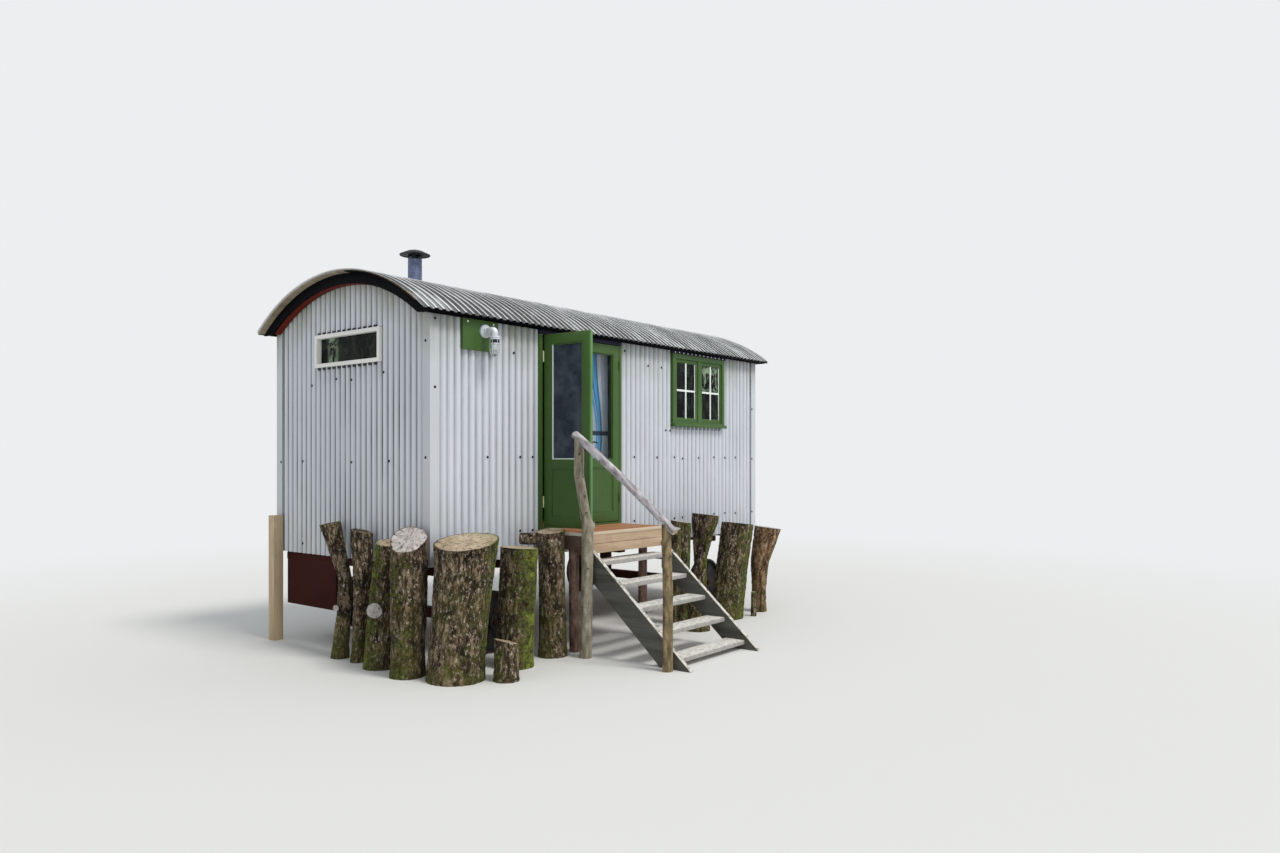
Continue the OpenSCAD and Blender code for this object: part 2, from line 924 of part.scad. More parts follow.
module grown(keys, seed, rough, sides = 14, rings = 8, side = [1, 0, 0], up = [0, 1, 0],
    slope = [0, 0]) {
    body = [for (k = [0:rings]) each ring(keys, k / rings, side, up, seed, rough, sides, slope)];
    n = len(body);
    last = len(keys) - 1;
    ends = [for (k = [0, last]) [keys[k][1], keys[k][2], keys[k][3]]];
    sides_faces = [for (k = [0:rings - 1]) for (i = [0:sides - 1])
        let (j = (i + 1) % sides, b = k * sides, t = (k + 1) * sides)
        each [[b + i, t + i, t + j], [b + i, t + j, b + j]]];
    foot_faces = [for (i = [0:sides - 1]) [n, i, (i + 1) % sides]];
    head_faces = [for (i = [0:sides - 1])
        [n + 1, rings * sides + (i + 1) % sides, rings * sides + i]];
    polyhedron(concat(body, ends), concat(sides_faces, foot_faces, head_faces));
}

// Bark posts under the landing, just inside its beams
module landing_posts() {
    z1 = landing_z - landing_t;
    r = 46;
    back = nose_y + tread_d + r + 30;
    x0 = landing_x + fascia_t + r + 8;
    x1 = landing_x + landing_w - fascia_t - r - 4;
    color(bark) on_front() {
        grown([[0, x0 + 26, back + 10, 0, r + 4], [0.5, x0 + 6, back + 4, z1 / 2, r],
            [1, x0, back, z1, r]], 3, 0.06, 12, 6);
        grown([[0, x1, back + 6, 0, r], [1, x1, back, z1, r - 5]], 5, 0.06, 12, 5);
    }
}

upper_y = -landing_d - 48;
head_y = upper_y - pole_lean;
lower_y = -1456;
post_x = 1200;

module handrail_posts() {
    color(pole_bark) on_front()
        difference() {
            union() {
                grown([[0, post_x - 30, upper_y, 0, 54], [0.3, post_x - 12, upper_y, 570, 50],
                    [0.58, post_x, upper_y, 1110, 54], [0.66, post_x - 36, upper_y, 1230, 46],
                    [0.84, post_x - 125, upper_y - 10, 1567, 44],
                    [1, post_x - 170, head_y, rail_top_z, 42]], 2, 0.05, 12, 14);
                grown([[0, post_x, lower_y, 0, 44], [0.5, post_x + 6, lower_y, 600, 41],
                    [1, post_x - 15, lower_y, rail_foot_z, 39]], 6, 0.06, 12, 10);
            }
            handrail(1);
            block(landing_x, landing_x + landing_w, -landing_d - seat, 0,
                landing_z - landing_t - fascia_h, landing_z + 60);
        }
}

// The rail pole, which lies on both posts; spare makes the saddle that it sits in
module handrail(spare) {
    run_y = lower_y - head_y;
    fall = rail_top_z - rail_foot_z;
    away = norm([run_y, fall]);
    r = pole_r + spare * seat;
    grown([[0, post_x - 179, head_y + 45, rail_top_z + 36, r],
        [0.07, post_x - 169, head_y - 20, rail_top_z - 14, r + 3],
        [0.5, post_x - 84, head_y + run_y / 2, (rail_top_z + rail_foot_z) / 2 + 14, r],
        [1, post_x - 8, lower_y - 80, rail_foot_z - 62, r - 3]],
        8, 0.05, 12, 14, up = [0, -fall / away, -run_y / away]);
}

module pole_handrail() {
    color(pole_bark) on_front() handrail(0);
}

// Trunk with a shape of its own: each row of shape holds
// [share of the height, shift along x, shift along y, radius]
module trunk(x, y, h, shape, seed, slope = [0, 0], rough = 0.05) {
    grown([for (k = shape) [k[0], x + k[1], y + k[2], k[0] * h, k[3]]],
        seed, rough, slope = slope);
}

// Sawn-off branch that leaves a trunk's middle level, away gives its bearing in plan
module branch(x, y, z, away, reach, r0, r1, seed) {
    dx = cos(away);
    dy = sin(away);
    grown([[0, x, y, z, r0], [1, x + reach * dx, y + reach * dy, z, r1]], seed, 0.05, 12, 4,
        side = [0, 0, 1], up = [dy, -dx, 0]);
}

module left_logs() {
    top = floor_z;
    color(bark) on_front() {
        union() {
            trunk(-125, 1040, top + 80, [[0, 0, 0, 84], [0.1, 0, -10, 74], [0.4, 0, -66, 60],
                [0.6, 0, -70, 60], [0.82, 0, 50, 78], [1, 0, 150, 92]], 1, [0.1, -0.2]);
            branch(-125, 1000, 440, 205, 112, 36, 30, 21);
        }
        trunk(-128, 780, top + 34, [[0, 0, 0, 70], [0.12, 0, -8, 60], [0.4, -2, -50, 70],
            [0.65, 0, -66, 82], [0.88, 3, -52, 93], [1, 3, -45, 92]], 4, [-0.1, 0.2]);
        union() {
            trunk(-150, 455, top - 41, [[0, 0, 0, 132], [0.12, 0, -6, 122], [0.45, 0, -28, 108],
                [0.7, 0, -50, 98], [1, 10, -75, 84]], 7, [0.15, 0.25]);
            branch(-150, 440, 490, 218, 168, 74, 66, 22);
        }
        trunk(-190, 30, top + 8, [[0, 0, 10, 144], [0.12, 0, 8, 138], [0.5, 0, 0, 148],
            [0.85, 0, -4, 152], [1, 0, -6, 148]], 3, [0.5, 0.42]);
        trunk(-30, -345, top - 9, [[0, 0, 0, 236], [0.12, 6, 0, 226], [0.5, 50, 0, 226],
            [0.85, 94, 0, 240], [1, 108, 0, 258]], 9, [0.19, 0.09], 0.035);
    }
}

module front_logs() {
    top = floor_z;
    color(bark) on_front() {
        trunk(562, -372, top - 92, [[0, 0, 0, 168], [0.12, 3, 0, 160], [0.5, 26, 0, 156],
            [1, 54, 0, 162]], 11, [-0.06, 0.03]);
        union() {
            trunk(1040, -332, top + 16, [[0, 10, 0, 132], [0.12, 10, 0, 122], [0.5, 6, 0, 120],
                [0.85, -4, 0, 122], [1, -10, 0, 126]], 12, [0.14, 0.05]);
            branch(1035, -332, top - 50, 128, 270, 64, 50, 16);
        }
        trunk(190, -672, 300, [[0, 0, 0, 104], [0.3, 0, 0, 98], [1, 0, 0, 96]], 13, [-0.25, 0.1]);
    }
}

module right_logs() {
    top = floor_z;
    color(bark) on_front() {
        trunk(2705, -415, top - 56, [[0, 0, 0, 66], [0.5, 8, 0, 60], [1, 16, 0, 62]], 10, [0.1, 0.2]);
        trunk(2980, -300, top - 8, [[0, 0, 0, 112], [0.5, -4, 0, 102], [1, 3, 0, 108]],
            14, [-0.1, 0.12]);
        trunk(3316, -300, top + 42, [[0, -8, 0, 90], [0.15, 0, 0, 78], [0.6, 24, 0, 76],
            [0.8, 68, 0, 112], [0.92, 104, 0, 142], [1, 122, 0, 148]], 15, [-0.12, 0.05]);
        trunk(3576, -464, top - 62, [[0, 0, 0, 190], [0.12, 18, 0, 184], [0.5, 105, 0, 178],
            [0.85, 190, 0, 182], [1, 222, 0, 180]], 17, [-0.12, 0.03]);
        trunk(4165, -518, top - 138, [[0, 0, 0, 90], [0.12, 0, 0, 82], [0.37, 0, 0, 90],
            [0.59, 14, 0, 108], [0.82, 115, 0, 140], [1, 192, 0, 152]], 19, [-0.1, 0.1]);
        trunk(2800, -640, 330, [[0, 0, 0, 122], [0.4, 0, 0, 114], [1, -10, 0, 108]], 20, [-0.3, 0.1]);
        trunk(3850, -640, 260, [[0, 0, 0, 34], [1, 0, 0, 30]], 18);
    }
}

floor_boards();
floor_joists();
front_wall_left();
front_wall_right();
front_wall_over_door();
front_wall_under_door();
back_wall();
left_end_wall();
right_end_wall();
front_cladding();
back_cladding();
left_end_cladding();
right_end_cladding();
corner_flashings();
roof_deck();
roof_sheet();
bargeboards();
gable_soffits();
eaves_boards();
door_frame();
door_headers();
left_door_leaf();
left_door_glass();
left_door_hinges();
right_door_leaf();
right_door_glass();
right_door_hinges();
front_window_frame();
front_window_sashes();
end_window_frames();
window_glass();
door_curtain();
curtain_pole();
flue_pipe();
flue_cap();
lamp_board();
wall_lamp();
chassis_rails();
chassis_bearers();
axles();
axle_blocks();
wheels();
end_skirt_board();
rear_corner_post();
landing_boards();
landing_beams();
landing_posts();
stair_strings();
stair_treads();
handrail_posts();
pole_handrail();
left_logs();
front_logs();
right_logs();
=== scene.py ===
import math
import random

import bmesh
import bpy
import numpy as np
from mathutils import Matrix, Vector, noise


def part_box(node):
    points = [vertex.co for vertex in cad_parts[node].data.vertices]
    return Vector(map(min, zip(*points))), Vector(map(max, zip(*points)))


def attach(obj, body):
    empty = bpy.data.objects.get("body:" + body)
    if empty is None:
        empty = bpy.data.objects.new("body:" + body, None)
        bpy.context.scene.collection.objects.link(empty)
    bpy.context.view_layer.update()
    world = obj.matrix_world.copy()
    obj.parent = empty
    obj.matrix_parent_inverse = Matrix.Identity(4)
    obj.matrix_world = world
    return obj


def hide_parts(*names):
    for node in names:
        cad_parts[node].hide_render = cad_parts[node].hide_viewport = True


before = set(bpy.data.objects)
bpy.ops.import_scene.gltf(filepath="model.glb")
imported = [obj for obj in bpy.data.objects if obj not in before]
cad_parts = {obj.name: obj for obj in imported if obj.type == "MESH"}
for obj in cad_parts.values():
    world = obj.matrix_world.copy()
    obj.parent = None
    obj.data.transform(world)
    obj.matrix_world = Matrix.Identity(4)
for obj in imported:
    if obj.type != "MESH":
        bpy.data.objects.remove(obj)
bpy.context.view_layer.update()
print("frame loaded")

# Lengths are in metres. x runs along the door wall, y in through the hut, z up, and
# everything is placed from the front left corner of the walls.
hut = {
    "length": 4.940, "width": 2.270, "skirt": 0.830, "floor": 1.060,
    "crown": 3.320, "eaves": 2.890, "eavesOver": 0.095, "gableOver": 0.150,
    "pitch": 0.0762, "depth": 0.018, "steel": 0.0015, "crestIn": 0.0023,
    "deck": 0.028, "fit": 0.0003, "bargeGap": 0.062, "bareFrom": 0.960,
}
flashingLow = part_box("corner_flashings")[0]
corner = Vector((flashingLow.x, flashingLow.y, 0.0))

halfSpan = hut["width"] / 2 + hut["eavesOver"]
roofRise = hut["crown"] - hut["eaves"]
roofRadius = (halfSpan ** 2 + roofRise ** 2) / (2 * roofRise)
archZ = hut["crown"] - roofRadius
underRadius = roofRadius - hut["depth"] - hut["steel"] - hut["fit"] - hut["deck"]

windows = {
    "front": (3.225, 1.000, 2.050, 0.780),  # distance along, width, sill height, height
    "end": (0.655, 0.965, 2.515, 0.293),
}
door = {
    "x": 1.212, "width": 1.148, "top": 2.813, "low": 1.085, "jamb": 0.036, "gap": 0.005,
    "meet": 0.008, "stile": 0.088, "thick": 0.044, "pinY": -0.027, "face": 0.007,
    "glassLow": 1.690, "glassHigh": 2.721, "open": 88,
}
door["leaf"] = (door["width"] - 2 * door["jamb"] - 2 * door["gap"] - door["meet"]) / 2


def place(x, y, z):
    return corner + Vector((x, y, z))


def deckUnder(y):
    return archZ + math.sqrt(underRadius ** 2 - (hut["width"] / 2 - y) ** 2)


def dip(s):
    return hut["depth"] / 2 * (1 - math.cos(2 * math.pi * s / hut["pitch"]))


def tone(text):
    raw = [int(text[i:i + 2], 16) / 255 for i in (1, 3, 5)]
    plain = [v / 12.92 if v <= 0.04045 else ((v + 0.055) / 1.055) ** 2.4 for v in raw]
    return (*plain, 1.0)


def stand(name, data):
    thing = bpy.data.objects.new(name, data)
    bpy.context.scene.collection.objects.link(thing)
    return thing


# Shader nodes: Nodes lays them in a tree, and Look gathers the layers of one finish

class Nodes:
    def __init__(self, tree, coordinates):
        self.tree = tree
        self.spot = self.lay("ShaderNodeTexCoord").outputs[coordinates]

    def fill(self, socket, value):  # a colour as text, a plain value, or another node's output
        if isinstance(value, str):
            socket.default_value = tone(value)
        elif isinstance(value, (int, float, tuple, list)):
            socket.default_value = value
        else:
            self.tree.links.new(value, socket)

    def lay(self, kind, sockets=None):
        node = self.tree.nodes.new(kind)
        for key, value in (sockets or {}).items():
            self.fill(node.inputs[key], value)
        return node

    def axis(self, which, vector=None):
        vector = self.spot if vector is None else vector
        return self.lay("ShaderNodeSeparateXYZ", {0: vector}).outputs[which]

    def joined(self, *lengths):
        return self.lay("ShaderNodeCombineXYZ", dict(enumerate(lengths))).outputs[0]

    def between(self, value, low, high, start=0.0, end=1.0):
        node = self.lay("ShaderNodeMapRange", {"Value": value, "From Min": low, "From Max": high,
                                               "To Min": start, "To Max": end})
        return node.outputs["Result"]

    def maths(self, how, *values):
        node = self.lay("ShaderNodeMath", dict(enumerate(values)))
        node.operation = how
        return node.outputs[0]

    def times(self, first, *others):
        for other in others:
            first = self.maths("MULTIPLY", first, other)
        return first

    def distance(self, x, y):
        return self.maths("SQRT", self.maths("ADD", self.times(x, x), self.times(y, y)))

    def blend(self, share, under, top):
        node = self.lay("ShaderNodeMixShader", {0: share, 1: under.outputs[0], 2: top.outputs[0]})
        return node.outputs[0]


class Look(Nodes):
    def __init__(self, name, rough, base=None, metal=0.0):
        self.material = bpy.data.materials.new(name)
        self.material.use_nodes = True
        super().__init__(self.material.node_tree, "Object")
        self.shader = self.tree.nodes["Principled BSDF"]
        self.colour = base
        self.give("Roughness", rough)
        self.give("Metallic", metal)

    def give(self, socket, value):
        self.fill(self.shader.inputs[socket], value)

    def stretched(self, stretch):  # a larger number repeats the figure more often that way
        if not stretch:
            return self.spot
        return self.lay("ShaderNodeMapping", {"Vector": self.spot, "Scale": stretch}).outputs["Vector"]

    def cloud(self, scale, detail=4.0, rough=0.55, warp=0.0, stretch=None, spot=None):
        spot = self.stretched(stretch) if spot is None else spot
        node = self.lay("ShaderNodeTexNoise", {"Vector": spot, "Scale": scale, "Detail": detail,
                                               "Roughness": rough, "Distortion": warp})
        return node.outputs["Fac"]

    def cells(self, scale, stretch=None, what="Distance"):
        node = self.lay("ShaderNodeTexVoronoi", {"Vector": self.stretched(stretch), "Scale": scale})
        return node.outputs[what]

    def reading(self, name, what="Fac"):  # a value that the mesh holds at each point
        node = self.lay("ShaderNodeAttribute")
        node.attribute_name = name
        return node.outputs[what]

    def ramp(self, value, stops):
        node = self.lay("ShaderNodeValToRGB", {"Fac": value})
        marks = node.color_ramp.elements
        while len(marks) < len(stops):
            marks.new(0.5)
        for mark, (at, text) in zip(marks, stops):
            mark.position = at
            mark.color = tone(text)
        return node.outputs["Color"]

    def over(self, share, under, top):
        node = self.lay("ShaderNodeMix")
        node.data_type = "RGBA"
        for key, value in ((0, share), (6, under), (7, top)):
            self.fill(node.inputs[key], value)
        return node.outputs[2]

    def coat(self, hue, share, low=None, high=None, most=1.0):  # one more layer of colour
        if low is not None:
            share = self.between(share, low, high, 0.0, most)
        self.colour = self.over(share, self.colour, hue)

    def zone(self, low, high, soft):  # a soft-edged box in the hut's own lengths; None leaves a side open
        sides = []
        for axis in range(3):
            value = self.axis(axis)
            if low[axis] is not None:
                edge = corner[axis] + low[axis]
                sides.append(self.between(value, edge - soft, edge + soft))
            if high[axis] is not None:
                edge = corner[axis] + high[axis]
                sides.append(self.between(value, edge + soft, edge - soft))
        return self.times(*sides)

    def finish(self, *bumps, rough=None, shine=None):  # bumps: height and depth of each relief
        self.give("Base Color", self.colour)
        if rough is not None:
            self.give("Roughness", rough)
        if shine is not None:
            self.give("Specular IOR Level", shine)
        normal = None
        for height, depth in bumps:
            bump = self.lay("ShaderNodeBump", {"Distance": depth, "Height": height})
            if normal is not None:
                self.fill(bump.inputs["Normal"], normal)
            normal = bump.outputs["Normal"]
        self.give("Normal", normal)
        return self.material


# Camera, light and floor

view = {
    "place": (-4.6406, -5.8145, 1.690), "look": (0.78312, 0.62187, 0.0),
    "lens": 25.68, "shiftY": 0.0258,
}
light = {
    "sky": (0.90, 0.95, 1.0), "skyPower": 0.82, "seen": "#eceef0", "backShare": 0.25,
    "sunPower": 1.9, "sunSoft": 16, "sunFrom": (0.06, -0.66, 0.95), "sunTint": (1.0, 0.975, 0.94),
    "floor": "#d6d5d1", "fadeFrom": 4, "fadeTo": 13, "floorReach": 70,
}


def setCamera():
    data = bpy.data.cameras.new("hutCamera")
    data.sensor_width = 36
    data.lens = view["lens"]
    data.shift_y = view["shiftY"]
    data.clip_end = 200
    camera = stand("hutCamera", data)
    camera.location = corner + Vector(view["place"])
    camera.rotation_euler = Vector(view["look"]).to_track_quat("-Z", "Y").to_euler()
    bpy.context.scene.camera = camera


def setSky():
    world = bpy.data.worlds.new("paleSky")
    bpy.context.scene.world = world
    world.use_nodes = True
    world.node_tree.nodes.clear()
    sky = Nodes(world.node_tree, "Generated")
    behind = sky.between(sky.axis(1), -0.1, 0.5)
    lowDown = sky.between(sky.axis(2), 0.75, 0.35)
    dim = sky.times(behind, lowDown, light["skyPower"] * (1 - light["backShare"]))
    lit = sky.lay("ShaderNodeBackground", {"Color": (*light["sky"], 1),
                                           "Strength": sky.maths("SUBTRACT", light["skyPower"], dim)})
    seen = sky.lay("ShaderNodeBackground", {"Color": light["seen"]})
    rays = sky.lay("ShaderNodeLightPath").outputs
    shown = rays["Is Camera Ray"]
    for kind in ("Is Glossy Ray", "Is Transmission Ray"):
        shown = sky.maths("MAXIMUM", shown, rays[kind])
    sky.lay("ShaderNodeOutputWorld", {"Surface": sky.blend(shown, lit, seen)})
    bpy.context.scene.view_settings.view_transform = "Standard"


def setSun():
    data = bpy.data.lights.new("softSun", "SUN")
    data.energy = light["sunPower"]
    data.angle = math.radians(light["sunSoft"])
    data.color = light["sunTint"]
    sun = stand("softSun", data)
    sun.rotation_euler = Vector(light["sunFrom"]).to_track_quat("Z", "Y").to_euler()


def layFloor():  # a pale floor that fades into the backdrop
    look = Look("paleFloor", 0.9)
    look.give("Base Color", light["floor"])
    glow = look.lay("ShaderNodeEmission", {"Color": light["seen"]})
    far = look.lay("ShaderNodeVectorMath", {0: look.spot})
    far.operation = "LENGTH"
    fade = look.lay("ShaderNodeMapRange", {"Value": far.outputs["Value"], "From Min": light["fadeFrom"],
                                           "From Max": light["fadeTo"]})
    fade.interpolation_type = "SMOOTHSTEP"
    surface = look.tree.nodes["Material Output"].inputs["Surface"]
    look.fill(surface, look.blend(fade.outputs[0], look.shader, glow))
    mesh = bpy.data.meshes.new("paleFloor")
    r = light["floorReach"]
    mesh.from_pydata([(-r, -r, 0), (r, -r, 0), (r, r, 0), (-r, r, 0)], [], [(0, 1, 2, 3)])
    mesh.materials.append(look.material)
    stand("paleFloor", mesh)


setCamera()
setSky()
setSun()
layFloor()
print("camera, light and floor set")


# Finishes of the corrugated sheet

# marks on the sheet: stains, and painted shade in the grooves and below the boards
stainsAndShade = {
    "grooveShade": "#81868c", "grooveShadeLine": "#2f3335", "splash": "#85847a", "splashTop": 1.2, "splashLow": 0.82,
    "damp": "#7f8568", "dampDeep": 0.34, "speck": "#6f6b62", "streakDirtAndShade": "#5d6468",
    # streaks below the lamp board, end window and eaves, dirt with painted shade: along x from and to,
    # through y from and to, upper end, length
    "streaksDirtAndShade": [
        (0.315, 0.712, -0.05, 0.04, 2.605, 0.26),
        (-0.05, 0.04, 0.640, 1.640, 2.512, 0.20),
        (0.0, 4.940, -0.05, 0.04, 2.880, 0.16),
    ],
}


def sheetPaint(name, base, dark, rough=0.42, grooveShades=None):
    look = Look(name, rough, base)
    run = look.cloud(1.0, 5, 0.6, 0.2, (11, 11, 0.55))
    look.coat(dark, look.cloud(0.9, 3), 0.35, 0.7, 0.4)
    look.coat(dark, run, 0.5, 0.8, 0.3)
    if grooveShades:
        # painted shade in the valleys of the corrugation: a grey band over the flanks and a dark line at the
        # bottom
        valley = look.reading("valley")
        uneven = look.between(look.cloud(1.0, 4, 0.6, 0.2, (3, 3, 1.2)), 0.3, 0.7, 0.45, 1.0)
        look.coat(stainsAndShade["grooveShade"], look.times(look.between(valley, 0.3, 0.9), uneven, grooveShades[0]))
        look.coat(stainsAndShade["grooveShadeLine"], look.times(look.between(valley, 0.84, 0.975), uneven, grooveShades[1]))
    height = look.axis(2)
    splash = look.cloud(2.2, 6, 0.65, 0.4, (1, 1, 0.6))
    look.coat(stainsAndShade["splash"], look.times(look.between(height, stainsAndShade["splashTop"], stainsAndShade["splashLow"]),
                                           look.between(splash, 0.42, 0.68), 0.4))
    # green damp under the curve of the roof
    reach = look.distance(look.maths("SUBTRACT", look.axis(1), corner.y + hut["width"] / 2),
                          look.maths("SUBTRACT", height, archZ))
    damp = look.cloud(1.0, 6, 0.7, 0.5, (3.2, 3.2, 0.7))
    look.coat(stainsAndShade["damp"], look.times(
        look.between(reach, underRadius - stainsAndShade["dampDeep"], underRadius - 0.02),
        look.between(damp, 0.32, 0.6), 0.85))
    # darker streaks below the boards and the eaves: dirt and painted shade, held to the valleys on grooved
    # sheets
    for x0, x1, y0, y1, top, long in stainsAndShade["streaksDirtAndShade"]:
        share = look.times(look.zone((x0, y0, None), (x1, y1, top), 0.008),
                           look.between(height, top - long, top),
                           look.between(look.cloud(1.0, 4, 0.65, 0.1, (34, 34, 1.0)), 0.36, 0.6), 0.75)
        if grooveShades:
            share = look.times(share, look.between(valley, 0.1, 0.9, 0.35, 1.0))
        look.coat(stainsAndShade["streakDirtAndShade"], share)
    look.coat(stainsAndShade["speck"], look.cells(16), 0.045, 0.02, 0.35)
    return look.finish((look.cloud(3.5, 3), 0.004), (look.cloud(160, 2), 0.0002),
                       rough=look.between(run, 0.3, 0.8, rough - 0.06, rough + 0.16))


def roofPaint(name):
    look = Look(name, 0.55, "#d6d9d9")
    broad = look.cloud(1.3, 5, 0.6)
    look.coat("#a8abaa", broad, 0.36, 0.68, 0.8)
    # painted shade: the valleys and the flank of each rib that faces minus x are painted near black, and a
    # noise wobbles their edges
    shadeWobble = look.between(look.cloud(1.0, 5, 0.65, 0.3, (5, 1.6, 1.6)), 0.3, 0.7, -0.12, 0.12)
    deep = look.between(look.maths("ADD", look.reading("valley"), shadeWobble), 0.62, 0.92)
    flankShade = look.between(look.maths("ADD", look.reading("shadeSide"), shadeWobble), 0.72, 0.93, 0.0, 0.95)
    look.coat("#0e1110", look.times(look.maths("MAXIMUM", deep, flankShade), 0.98))
    look.coat("#8e9077", look.times(look.between(look.cells(24), 0.22, 0.12),
                                    look.between(look.cloud(2.1, 4), 0.5, 0.62), 0.6))
    return look.finish((look.cloud(40, 4, 0.6), 0.0008), (look.cloud(180, 2), 0.0002),
                       rough=look.between(broad, 0.3, 0.8, 0.48, 0.7))


# Finishes of timber, paint, metal and glass

def grain(axis, across, along):  # how finely a figure repeats across the timber and along it
    scale = [across] * 3
    scale[axis] = along
    return scale


def woodLook(name, light, dark, axis, rough=0.75, knots=0.0, dirt=None, byBoard=False,
             fibre=0.0012, wear=None, boards=None, faces=()):
    look = Look(name, rough)
    figure = look.cloud(1.0, 6, 0.6, 1.2, grain(axis, 9.0, 0.55))
    strands = look.cloud(1.0, 3, 0.6, 0.3, grain(axis, 150.0, 3.0))
    look.colour = look.ramp(figure, [(0.32, dark), (0.68, light)])
    look.coat(dark, strands, 0.5, 0.72, 0.45)
    if knots:
        look.coat("#3a2415", look.cells(1.0, grain(axis, 5.0, 1.6)), knots, knots * 0.45, 0.75)
    if byBoard:
        look.coat(dark, look.reading("boardTone"), 0.0, 1.0, 0.45)
    if dirt:
        look.coat(dirt, look.cloud(3.0, 6, 0.7, 0.5), 0.5, 0.72, 0.6)
    if wear:
        look.coat(wear, look.times(look.reading("wear"), look.between(look.cloud(26, 4), 0.3, 0.55)))
    bumps = [(strands, fibre), (figure, 0.0012)]
    if boards:  # grooves between matched boards: the axis across them, and their width
        line = look.maths("MODULO", look.maths("ADD", look.axis(boards[0]), 40.0), boards[1])
        look.coat("#1c140d", line, 0.006, 0.0, 0.8)
        bumps.append((look.between(line, 0.0, 0.006), 0.003))
    for across, hue, share in faces:  # faces that look towards minus x or minus y get their own colour; where it is darker it is painted shade
        normal = look.lay("ShaderNodeNewGeometry").outputs["Normal"]
        look.coat(hue, look.axis(across, normal), -0.4, -0.85, share)
    return look.finish(*bumps, rough=look.between(figure, 0.2, 0.8, rough + 0.08, rough - 0.1))


def paintLook(name, base, worn, under, rough=0.38, axis=2, shine=0.25):
    look = Look(name, rough, base)
    broad = look.cloud(1.6, 5, 0.6)
    strokes = look.cloud(1.0, 3, 0.6, 0.2, grain(axis, 70.0, 1.4))
    look.coat(worn, broad, 0.35, 0.7, 0.6)
    look.coat(worn, strokes, 0.45, 0.75, 0.3)
    look.coat(under, look.times(look.between(look.cloud(34, 6, 0.7, 0.5), 0.66, 0.7),
                                look.between(look.cloud(2.4, 3), 0.45, 0.6), 0.6))
    return look.finish((strokes, 0.0007), (look.cloud(240, 2), 0.0002), shine=shine,
                       rough=look.between(broad, 0.2, 0.8, rough - 0.07, rough + 0.15))


def metalLook(name, base, dark, rough, metal, rust=None):
    look = Look(name, rough, base, metal)
    film = look.cloud(9, 5, 0.65)
    look.coat(dark, look.axis(0, look.cells(30, what="Color")), 0.0, 1.0, 0.55)
    look.coat(dark, film, 0.48, 0.75, 0.6)
    if rust:
        look.coat(rust, look.cloud(5.5, 7, 0.72, 0.6), 0.55, 0.68, 0.7)
    return look.finish((film, 0.0006), (look.cloud(180, 2), 0.0002),
                       rough=look.between(film, 0.3, 0.75, rough - 0.1, rough + 0.2))


def paneLook(name, base, clear, shine, dust=0.16, paintedReflection=None):
    look = Look(name, 0.04, base)
    haze = look.cloud(6, 4)
    look.coat("#8fa0a6", haze, 0.4, 0.7, dust)
    if paintedReflection:  # painted reflection of foliage, mostly on the upper panes of one sash and one strip of the end window
        x, w, z, h = windows["front"]
        sash = look.zone((x + w * 0.53, None, z + h * 0.52), (x + w * 0.9, None, z + h), 0.03)
        strip = look.zone((None, 1.330, None), (0.2, 1.470, None), 0.02)
        most = look.between(look.maths("MAXIMUM", sash, strip), 0.0, 1.0, 0.05, 0.7)
        look.coat(paintedReflection, look.times(look.between(look.cloud(1.0, 5, 0.65, 0.8, (12, 12, 7)), 0.45, 0.6),
                                     most))
    # clear sets the alpha: the window and door panes are nearly opaque, so their dark base colour is painted
    # shade seen through the glass
    look.give("Alpha", look.between(haze, 0.4, 0.8, clear, min(1.0, clear + 0.08)))
    return look.finish((look.cloud(2.5, 1), 0.0012), shine=shine,
                       rough=look.between(haze, 0.4, 0.8, 0.03, 0.12))


# Finishes of grown wood: bark, sawn ends and peeled poles

barkTones = {"deep": "#17110c", "damp": "#5f5d2a", "moss": ((0.40, "#20240f"), (0.64, "#5f6728")),
             "brightMoss": "#85903a", "endMoss": "#6c7640", "split": "#2e2116", "scar": "#3b2c24",
             "knot": "#1f150f"}


def barkLook(name, stops, pale, fine):
    look = Look(name, 0.92)
    lumps = look.cloud(17, 6, 0.7, 0.3, (1, 1, 0.5))
    scurf = look.cloud(52, 5, 0.72, 0.2, (1, 1, 0.6))
    pits = look.cloud(38, 5, 0.72, 0.4, (1, 1, 0.5))
    look.colour = look.ramp(lumps, stops)
    look.coat(pale, scurf, 0.55, 0.65, 0.8)
    look.coat(barkTones["deep"], pits, 0.49, 0.39, 0.92)
    look.coat(barkTones["deep"], look.reading("crevice"), 0.1, 0.9, 0.85)
    look.coat(barkTones["damp"], look.times(look.between(look.axis(2), 1.0, 0.15),
                                            look.between(look.cloud(5, 5, 0.7), 0.42, 0.6), 0.45))
    broken = look.between(look.cloud(13, 7, 0.75, 0.3), 0.36, 0.64, -0.7, 0.7)
    grown = look.maths("ADD", look.reading("moss"), broken)
    leaf = look.ramp(look.cloud(48, 5, 0.75), barkTones["moss"])
    leaf = look.over(look.between(grown, 1.1, 1.7, 0.0, 0.7), leaf, barkTones["brightMoss"])
    look.coat(leaf, grown, 0.40, 0.95, 0.88)
    return look.finish((lumps, fine * 2.2), (pits, fine), (scurf, fine), shine=0.2)


